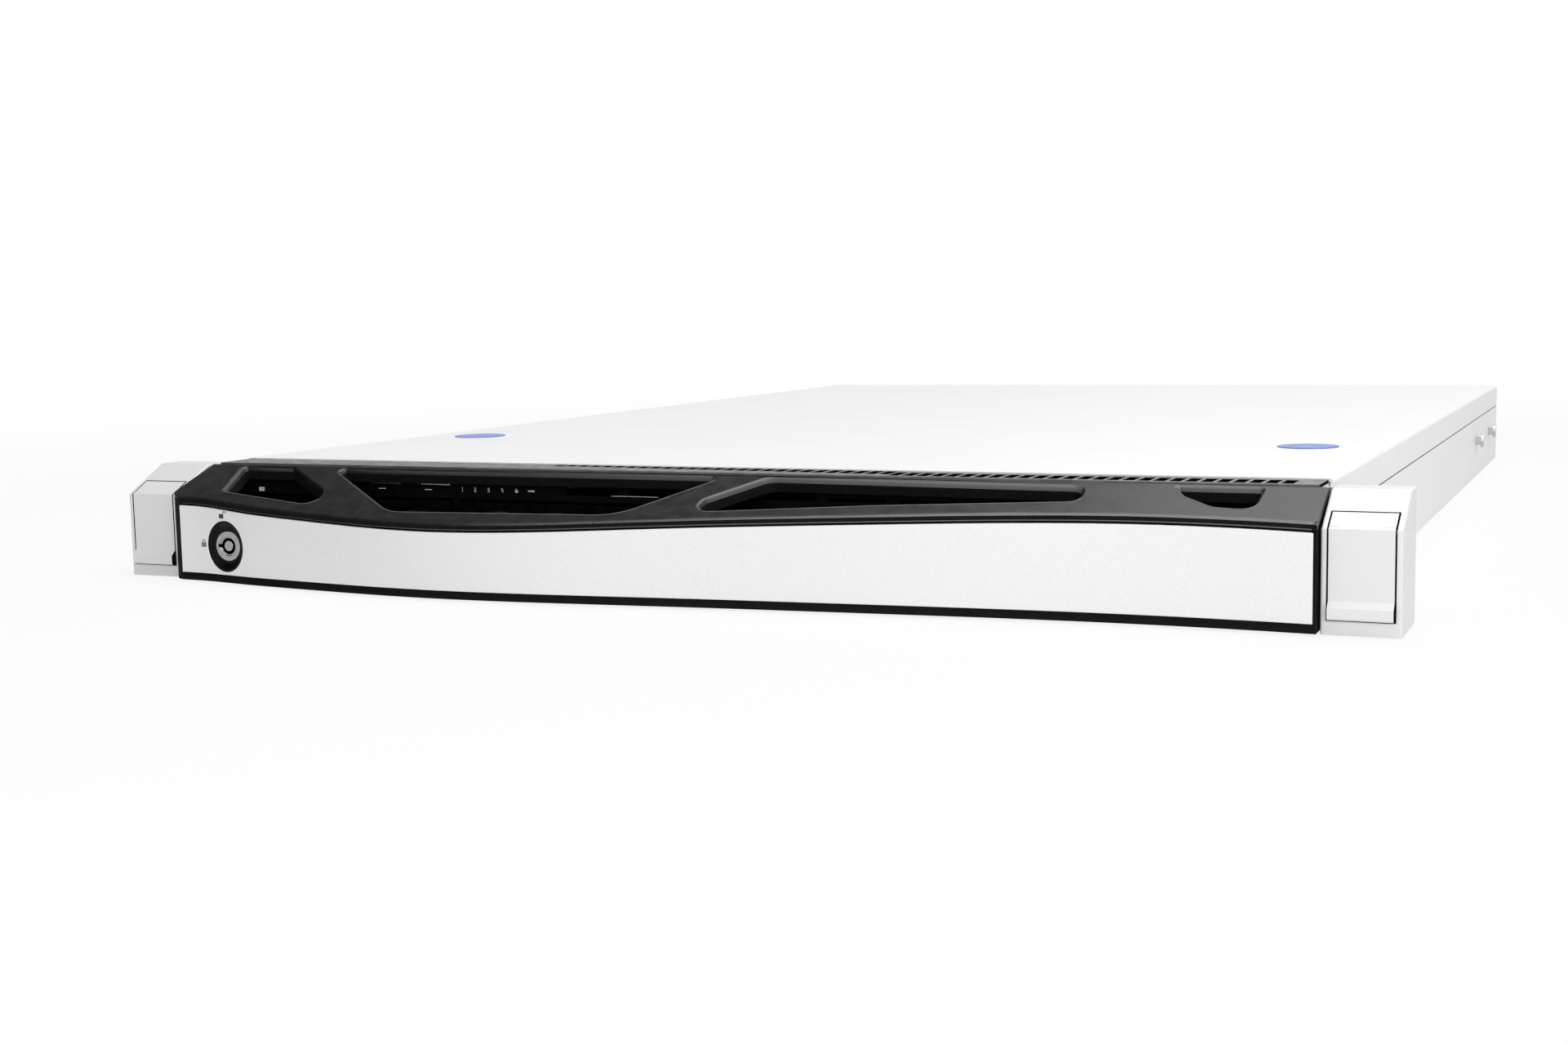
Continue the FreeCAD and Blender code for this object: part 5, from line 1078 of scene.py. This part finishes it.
# Painted shade: the walls of the strip's slots are black.
second_finish(sheets["front_top_strip"], BAY_BLACK_AND_SHADE, lambda face: abs(face.normal.z) < 0.5
              and strip_low.y + SLOT_TURN < face.center.y < strip_high.y - SLOT_TURN)
insert_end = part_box("rear_ports")[1].y - INSERT_DEPTH
second_finish(sheets["rear_ports"], INNER_BLACK,
              lambda face: face.normal.y > 0.9 and face.center.y < insert_end)
cage_low, cage_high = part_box("drive_cage")
# Painted shade: the front of the drive cage is black.
second_finish(cage, BAY_BLACK_AND_SHADE, lambda face: face.center.y < cage_low.y + CAGE_FRONT)

# %% [markdown]
# Two thin black sheets of painted shade sit behind gaps: one lies over the front part
# of the drive cage, under the strip's slots, and one lies in the seam between the
# cover's flange and the case side.  Both are sheets with rounded corners, drawn once
# by the same function.

# %% Painted shade sheets behind the slots and the seam
CAGE_SHADE_HALF = 211.5 * MM       # half the width of the shade sheet over the cage
CAGE_SHADE_END = 22 * MM
SEAM_SHADE_NEAR = 213.9 * MM       # the seam sheet's two sides, from the middle of the case
SEAM_SHADE_FAR = 214.7 * MM
SEAM_SHADE_START = 42 * MM         # behind the front edge of the cover


def sheet(name, low, high, corner, body_node):
    """A thin black sheet of painted shade in the given box, its outline rounded at the corners."""
    body = bmesh.new()
    size = high - low
    bmesh.ops.create_cube(body, size=1, matrix=Matrix.Translation((low + high) / 2)
                          @ Matrix.Diagonal((*size, 1)))
    thin = min(range(3), key=lambda axis: size[axis])
    ends = [edge for edge in body.edges
            if abs((edge.verts[0].co - edge.verts[1].co)[thin]) > 0.5 * size[thin]]
    bmesh.ops.bevel(body, geom=ends, offset=corner, offset_type="OFFSET", segments=6,
                    profile=0.5, affect="EDGES")
    ride_new(make_piece(name, body, BAY_BLACK_AND_SHADE), body_node)
    print(name, "size", [round(v, 4) for v in size])


sheet("cage_shade_sheet", Vector((-CAGE_SHADE_HALF, cage_low.y + 0.2 * MM, cage_high.z + 0.02 * MM)),
      Vector((CAGE_SHADE_HALF, CAGE_SHADE_END, cage_high.z + 0.10 * MM)), 3 * MM, "drive_cage")
for side, near, far in (("right", SEAM_SHADE_NEAR, SEAM_SHADE_FAR), ("left", -SEAM_SHADE_FAR, -SEAM_SHADE_NEAR)):
    sheet("seam_shade_sheet_" + side, Vector((near, cover_low.y + SEAM_SHADE_START, cover_low.z - 0.52 * MM)),
          Vector((far, cover_high.y - 1 * MM, cover_low.z - 0.04 * MM)), 0.2 * MM, "chassis_pan")

# %% [markdown]
# Printed marks are films of ink a few hundredths thick.  Each is a flat outline
# given in millimetres across and up, and a small function lays it on its surface:
# straight ahead on a flat part, and along the wave on the face plate.

# %% Helpers for printed marks
INK = 0.04                   # half the film's thickness, in millimetres


def bar(left, low, right, high):
    return [(left, low), (right, low), (right, high), (left, high)]


def arc_band(across, up, radius, width, start, end, steps=14):
    """Outline of a bent band, angles in degrees, counted from the right."""
    turns = [math.radians(start + (end - start) * k / steps) for k in range(steps + 1)]
    return [(across + reach * math.cos(t), up + reach * math.sin(t))
            for reach, order in ((radius, turns), (radius - width, turns[::-1])) for t in order]


def flat_marks(name, outlines, lay, finish, body_node):
    """Prints outlines on a surface; lay(across, up, lift) gives a place in millimetres."""
    body = bmesh.new()
    for outline in outlines:
        skin([[Vector(lay(across, up, lift)) * MM for across, up in outline]
              for lift in (-INK, INK)], body=body)
    bmesh.ops.triangulate(body, faces=[face for face in body.faces if len(face.verts) > 4])
    ride_new(make_piece(name, body, finish), body_node)
    print(name, "outlines", len(outlines))


def on_front(node):
    """Lays a mark on the front of a node."""
    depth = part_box(node)[0].y / MM
    return lambda across, up, lift: (across, depth - lift, up)


def on_wave(across, up, lift):
    return (across, wave(across * MM) / MM - lift, up)


def padlock(across, up, width, hoop_shift):
    """A closed or open padlock as outlines: a body and a bent hoop."""
    half, tall, band = width / 2, width * 0.72, width * 0.15
    hoop_up, reach = up + tall + 0.1 * width, half * 0.78
    hoop = arc_band(across + hoop_shift, hoop_up, reach, band, 0, 180)
    legs = []
    for side in (-1, 1):
        middle = across + hoop_shift + side * (reach - band / 2)
        legs.append(bar(middle - band / 2, up + tall * 0.9, middle + band / 2, hoop_up))
    return [bar(across - half, up, across + half, up + tall), hoop] + legs[:1 if hoop_shift else 2]


SEGMENTS = {"a": (0, 2, 1, 2), "b": (1, 1, 1, 2), "c": (1, 0, 1, 1), "d": (0, 0, 1, 0),
            "e": (0, 0, 0, 1), "f": (0, 1, 0, 2), "g": (0, 1, 1, 1)}
DIGITS = {1: "bc", 2: "abged", 3: "abgcd", 4: "fgbc"}


def digit(number, across, up, height, stroke):
    """A plain bar digit: each stroke is a short bar on a two-high grid."""
    step, half = height / 2, stroke / 2
    strokes = [SEGMENTS[name] for name in DIGITS[number]]
    return [bar(across + x0 * step * 0.9 - half, up + z0 * step - half,
                across + x1 * step * 0.9 + half, up + z1 * step + half)
            for x0, z0, x1, z1 in strokes]


print("digits", sorted(DIGITS), "strokes", len(SEGMENTS))

# %% [markdown]
# The plate carries two padlock signs beside the lock, open and closed.  The strip
# behind the bezel has plain numbers over its status windows, bars beside them and
# over the ports.  Light bars along the left edges of the port shells and one short
# bar on the power button are painted highlights.

# %% Marks on the plate, the strip and the button
LABEL_UP = 34.0              # height of the strip's labels, in millimetres
flat_marks("lock_marks_dark", padlock(-187.1, 24.9, 2.4, 1.9), on_wave, MARK_DARK,
           "bezel_frame")
flat_marks("lock_marks_pale", padlock(-197.4, 13.6, 2.4, 0.0), on_wave, MARK_PALE,
           "bezel_frame")
labels = [outline for i in range(4)
          for outline in digit(i + 1, -101.2 + 5.9 * i, LABEL_UP, 1.4, 0.28)]
labels += padlock(-77.0, LABEL_UP, 1.2, 0.0)
labels += [bar(-72.0, 34.4, -69.2, 35.0), bar(-37.0, 33.6, -18.0, 33.8)]
labels += [bar(across, 34.2, across + 3.2, 34.5) for across in (-138.4, -117.4)]
flat_marks("strip_labels", labels, on_front("control_strip"), WHITE_INK_AND_HIGHLIGHT, "control_strip")
port_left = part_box("usb_shells")[0].x / MM
# Painted highlights: light bars along the left edges of the two port shells.
port_edge_highlights = [bar(port_left + step, 36.5, port_left + step + 0.4, 40.7) for step in (0.0, 21.1)]
flat_marks("port_edge_highlights", port_edge_highlights, on_front("usb_shells"), WHITE_INK_AND_HIGHLIGHT, "usb_shells")
# Painted highlight: a short white bar on the power button.
flat_marks("power_button_highlight", [bar(-194.3, 32.2, -191.6, 33.8)], on_front("power_button"),
           WHITE_INK_AND_HIGHLIGHT, "power_button")

# %% [markdown]
# Rivets and screws repeat, so one node tree sets a head on every point of a mesh.
# The head is a shallow cone; a cross recess is cut into it once, before it is
# copied, and a seeded spin turns each cross its own way.

# %% Fastener tree
UPWARD = (0, 0, 0)
BACKWARD = (-math.pi / 2, 0, 0)
RIGHTWARD = (0, math.pi / 2, 0)
LEFTWARD = (0, -math.pi / 2, 0)


def copied(tree, given, form):
    """A form copied to every point, all facing one way."""
    return geo(tree, "InstanceOnPoints", ("Points", given["Geometry"]), ("Instance", form),
               ("Rotation", given["Facing"]))


def head_form(tree, given, cross):
    radius, height = given["Head Radius"], given["Head Height"]
    head = geo(tree, "MeshCone", ("Vertices", 28), ("Radius Bottom", radius),
               ("Radius Top", maths(tree, "MULTIPLY", radius, 0.62)), ("Depth", height))
    if cross:
        long, wide = (maths(tree, "MULTIPLY", radius, share) for share in (1.05, 0.24))
        for first, second in ((long, wide), (wide, long)):
            blade = geo(tree, "MeshCube", ("Size", xyz(tree, X=first, Y=second, Z=height)))
            raised = geo(tree, "Transform", ("Geometry", blade),
                         ("Translation", xyz(tree, Z=height)))
            head = geo(tree, "MeshBoolean", ("Mesh 1", head), ("Mesh 2", raised),
                       operation="DIFFERENCE")
    spin = add_node(tree, "FunctionNodeRandomValue", [(2, 0.0), (3, 1.57),
                    ("Seed", given["Seed"])], data_type="FLOAT").outputs[1]
    return geo(tree, "RotateInstances", ("Instances", copied(tree, given, head)),
               ("Rotation", xyz(tree, Z=spin)), ("Local Space", True))


def dots(places):
    """Bare points at places in millimetres."""
    return bare_mesh([tuple(v * MM for v in place) for place in places])


def set_heads(name, places, facing, radius, height, finish, body_node, cross=False):
    """Heads at places in millimetres, which ride on the body of a node."""
    values = {"Head Radius": radius * MM, "Head Height": height * MM, "Facing": facing, "Seed": 5}
    grown_piece(name, name + "_tree", dots(places), lambda tree, given: head_form(
        tree, given, cross), values, finish, body_node)


print("directions", UPWARD, BACKWARD, RIGHTWARD, LEFTWARD)

# %% [markdown]
# Flat rivets hold the cover and the sides, and they are coated with the sheet that
# they sit in.  Cross-recess screws hold the rear panel, and one sits over every
# standoff of the main board.

# %% Rivets and screws of the case
cover_top = cover_high.z / MM
set_heads("cover_rivets", [(x, 28.0, cover_top) for x in (-202.0, -4.0, 51.0, 202.0)], UPWARD,
          2.6, 0.35, CASE_WHITE, "top_cover")
pan_low, pan_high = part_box("chassis_pan")
rear = pan_high.y / MM
REAR_SPOTS = [(-206.5, 32.0), (-206.5, 6.0), (-22.0, 32.0), (-22.0, 6.0), (18.0, 36.5)]
set_heads("rear_screws", [(x, rear, z) for x, z in REAR_SPOTS], BACKWARD, 2.8, 1.2, STEEL,
          "chassis_pan", cross=True)
SIDE_SPOTS = [(y, z) for y in (70.0, 330.0, 560.0) for z in (8.0, 24.0)]
for side, x, facing in (("right", pan_high.x, RIGHTWARD), ("left", pan_low.x, LEFTWARD)):
    set_heads("side_rivets_" + side, [(x / MM, y, z) for y, z in SIDE_SPOTS], facing, 2.0, 0.4,
              CASE_WHITE, "chassis_pan")


def loose_parts(node):
    """Middle and size of each separate solid in a node, in millimetres."""
    body = bmesh.new()
    body.from_mesh(frame["nodes"][node].data)
    bmesh.ops.remove_doubles(body, verts=body.verts, dist=WELD)
    seen, found = set(), []
    for first in body.verts:
        if first in seen:
            continue
        seen.add(first)
        group, queue = [], [first]
        while queue:
            vertex = queue.pop()
            group.append(vertex.co.copy())
            others = {edge.other_vert(vertex) for edge in vertex.link_edges} - seen
            seen |= others
            queue += others
        low, high = (Vector(end(co[i] for co in group) for i in range(3)) for end in (min, max))
        found.append(((low + high) / 2 / MM, (high - low) / MM))
    body.free()
    return found


board_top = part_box("motherboard")[1].z / MM
board_spots = [(middle.x, middle.y, board_top) for middle, _ in loose_parts("board_standoffs")]
set_heads("board_screws", board_spots, UPWARD, 2.9, 1.5, STEEL, "motherboard",
          cross=True)

# %% [markdown]
# A board without parts looks like a green tile.  Chips and capacitors are strewn
# over its free ground by seeded random numbers, so the board is the same on every
# run.  One tree makes the chips' bodies, one their legs, and one the capacitors.

# %% Trees for board parts
def moved(tree, form, lift=0.0, turn=0.0):
    """A form lifted by millimetres and turned about the upright."""
    return geo(tree, "Transform", ("Geometry", form), ("Translation", (0, 0, lift * MM)),
               ("Rotation", (0, 0, turn)))


def block(tree, size, lift):
    """A box of a size in millimetres with its middle at a height."""
    return moved(tree, geo(tree, "MeshCube", ("Size", tuple(v * MM for v in size))), lift)


def chip_body(tree):
    return joined(tree, block(tree, (6.4, 6.4, 0.9), 0.65), block(tree, (6.0, 6.0, 0.3), 1.2))


def chip_legs(tree):
    """Seven legs across a chip, and seven more at right angles to them."""
    combs = []
    for turn in (0, math.pi / 2):
        row = geo(tree, "MeshLine", ("Count", 7), ("Start Location", (0, -2.4 * MM, 0)),
                  ("Offset", (0, 0.8 * MM, 0)))
        comb = geo(tree, "InstanceOnPoints", ("Points", row),
                   ("Instance", block(tree, (8.0, 0.35, 0.2), 0.25)))
        combs.append(moved(tree, comb, turn=turn))
    return joined(tree, *combs)


def can(tree):
    """A capacitor: a drum and a slightly slimmer, taller one inside it."""
    return joined(tree, *[moved(tree, geo(tree, "MeshCylinder", ("Vertices", 28),
                                          ("Radius", radius * MM), ("Depth", tall * MM)),
                                tall / 2) for radius, tall in ((3.1, 7.6), (2.7, 8.2))])


def set_copies(name, build, finish, places, facing, body_node):
    """Copies a small form to places in millimetres; build makes it inside the tree."""
    grown_piece(name, name + "_tree", dots(places), lambda tree, given: copied(
        tree, given, build(tree)), {"Facing": facing}, finish, body_node)


def strew(count, areas, apart, seed):
    """Random places in rectangles, no two nearer than apart, all in millimetres."""
    dice = random.Random(seed)
    found = []
    for _ in range(4000):
        left, right, front, back = dice.choice(areas)
        spot = (dice.uniform(left, right), dice.uniform(front, back))
        if len(found) < count and all(math.dist(spot, other) > apart for other in found):
            found.append(spot)
    return found


print("board part trees ready")

# %% [markdown]
# The main board's free ground lies between the sockets and the rear ports.  On the
# memory sticks the chips stand in a row of eight on one side of each stick.

# %% Parts on the main board and the memory
FREE_GROUND = [(-196.0, -60.0, 512.0, 590.0), (-50.0, 14.0, 512.0, 600.0),
               (-198.0, -154.0, 404.0, 500.0), (34.0, 88.0, 490.0, 600.0)]
CHIP_COUNT = 26              # of the 42 places; the others take a capacitor each
spots = [(x, y, board_top) for x, y in strew(42, FREE_GROUND, 13.0, 11)]
chips, cans = spots[:CHIP_COUNT], spots[CHIP_COUNT:]
for name, build, finish, slot_name, places in (
        ("chip_bodies", chip_body, INNER_BLACK, "inner_black", chips),
        ("chip_legs", chip_legs, PORT_METAL, "port_metal", chips),
        ("capacitor_cans", can, FIN_ALUMINIUM, "fin_aluminium", cans)):
    set_copies(name, build, finish, places, UPWARD, "motherboard")
stick_places = [(middle.x + size.x / 2, middle.y - size.y * 0.42 + size.y * 0.12 * k, middle.z)
                for middle, size in loose_parts("memory_sticks") for k in range(8)]
set_copies("stick_chips", chip_body, INNER_BLACK, stick_places, RIGHTWARD, "memory_sticks")

# %% [markdown]
# The camera stands in front of the machine, to its right and a little above it.

# %% Camera
CAMERA_PLACE = Vector((313.06, -635.70, 103.65)) * MM
YAW = math.radians(24.253)
PITCH = math.radians(-6.454)
ROLL = math.radians(-1.097)
forward = Vector((-math.sin(YAW) * math.cos(PITCH), math.cos(YAW) * math.cos(PITCH),
                  math.sin(PITCH)))
level = Vector((math.cos(YAW), math.sin(YAW), 0))
upright = level.cross(forward)
right = level * math.cos(ROLL) + upright * math.sin(ROLL)
up = upright * math.cos(ROLL) - level * math.sin(ROLL)
lens = bpy.data.cameras.new("camera")
lens.sensor_width = 36
lens.lens = 45.54
lens.clip_start = 0.01
lens.clip_end = 50
camera = show("camera", lens)
turn = Matrix((right, up, -forward)).transposed().to_4x4()
camera.matrix_world = Matrix.Translation(CAMERA_PLACE) @ turn
bpy.context.scene.camera = camera
print("camera", [round(v, 4) for v in CAMERA_PLACE])

# %% [markdown]
# The stage is a plain pale floor with soft light: a large lamp overhead, a key
# from the right and in front, and an even world.  The camera and mirrors see pure
# white beyond the floor.  The floor keeps the shadow that grounds the machine.  A
# dark card stands on the left and is seen by mirror rays alone: the black slope and
# the satin plate mirror it, so their tone falls off towards the left end.

# %% Lamps, world and floor
WORLD_LIGHT = 0.38
FLOOR_HALF = 30.0
FLOOR_GAP = 0.4 * MM         # between the floor and the machine's lowest point
CARD_LINE = [((-1.05, -1.30), 0.0, 1.8), ((-1.05, 0.45), 0.0, 1.8), ((-1.05, 0.55), 0.42, 1.85),
             ((-0.35, 1.35), 0.55, 1.85)]     # a place on the floor, and low and high there
scene = bpy.context.scene


def soft_lamp(name, spot, aim, size, watts):
    light = bpy.data.lights.new(name, "AREA")
    light.shape = "RECTANGLE"
    light.size, light.size_y = size
    light.energy = watts
    lamp = show(name, light)
    lamp.rotation_euler = (Vector(aim) - Vector(spot)).to_track_quat("-Z", "Y").to_euler()
    lamp.location = spot


def mirror_rays(tree):
    """1 for rays from the camera, and for those that metal and glass send on."""
    rays = add_node(tree, "ShaderNodeLightPath").outputs
    seen = maths(tree, "MAXIMUM", rays["Is Camera Ray"], rays["Is Glossy Ray"])
    return maths(tree, "MAXIMUM", seen, rays["Is Transmission Ray"])


def mixed(tree, share, first, second):
    return add_node(tree, "ShaderNodeMixShader", enumerate((share, first, second))).outputs[0]


def staged(name, points, faces, finish):
    """A mesh of the stage, which isn't a part of the machine."""
    mesh = bpy.data.meshes.new(name)
    mesh.from_pydata(points, [], faces)
    mesh.materials.append(finish)
    item = show(name, mesh)
    return item


soft_lamp("key_right", (0.62, -0.95, 0.45), (0.05, -0.02, 0.02), (0.6, 0.6), 6.6)
soft_lamp("top", (0.5, 0.4, 1.9), (0.05, 0.25, 0.0), (2.2, 2.2), 31)
soft_lamp("lip_strip", (0.15, -0.50, 1.0), (0.05, 0.0, 0.03), (1.3, 0.08), 1.2)

scene.world = bpy.data.worlds.new("studio")
scene.world.use_nodes = True
sky = scene.world.node_tree
sky.nodes.clear()
plain, white = (add_node(sky, "ShaderNodeBackground", [("Color", (1, 1, 1, 1)),
                         ("Strength", strength)]).outputs[0] for strength in (WORLD_LIGHT, 1.0))
add_node(sky, "ShaderNodeOutputWorld", [("Surface", mixed(sky, mirror_rays(sky), plain, white))])

floor_white = new_finish("floor_white", (0.76, 0.76, 0.76), 0.9, mirror=0.1)
tree = floor_white.node_tree
spot = add_node(tree, "ShaderNodeTexCoord").outputs["Object"]
away = add_node(tree, "ShaderNodeVectorMath", [(0, spot), (1, (0, 0.3, 0))],
                operation="DISTANCE").outputs["Value"]
fade = add_node(tree, "ShaderNodeMapRange", [("Value", away), ("From Min", 0.35),
                ("From Max", 1.3), ("To Min", 0.85), ("To Max", 1.0)],
                interpolation_type="SMOOTHSTEP").outputs["Result"]
glow = add_node(tree, "ShaderNodeEmission", [("Strength", 1.0)]).outputs[0]
blend = mixed(tree, maths(tree, "MULTIPLY", mirror_rays(tree), fade),
              shader_of(floor_white).outputs[0], glow)
tree.links.new(blend, tree.nodes["Material Output"].inputs["Surface"])
floor = staged("floor", [(x * FLOOR_HALF, y * FLOOR_HALF, 0) for x, y in bar(-1, -1, 1, 1)],
               [(0, 1, 2, 3)], floor_white)
floor.location.z = -FLOOR_GAP

card = staged("dark_card", [(x, y, z) for (x, y), low, high in CARD_LINE for z in (low, high)],
              [(2 * i, 2 * i + 2, 2 * i + 3, 2 * i + 1) for i in range(len(CARD_LINE) - 1)],
              black_plastic("card_black_felt", 14, 0.85, 0.95, 0.2))
for seen_by in ("visible_camera", "visible_diffuse", "visible_shadow"):
    setattr(card, seen_by, False)
scene.view_settings.view_transform = "Standard"
print("stage", floor.name, card.name)
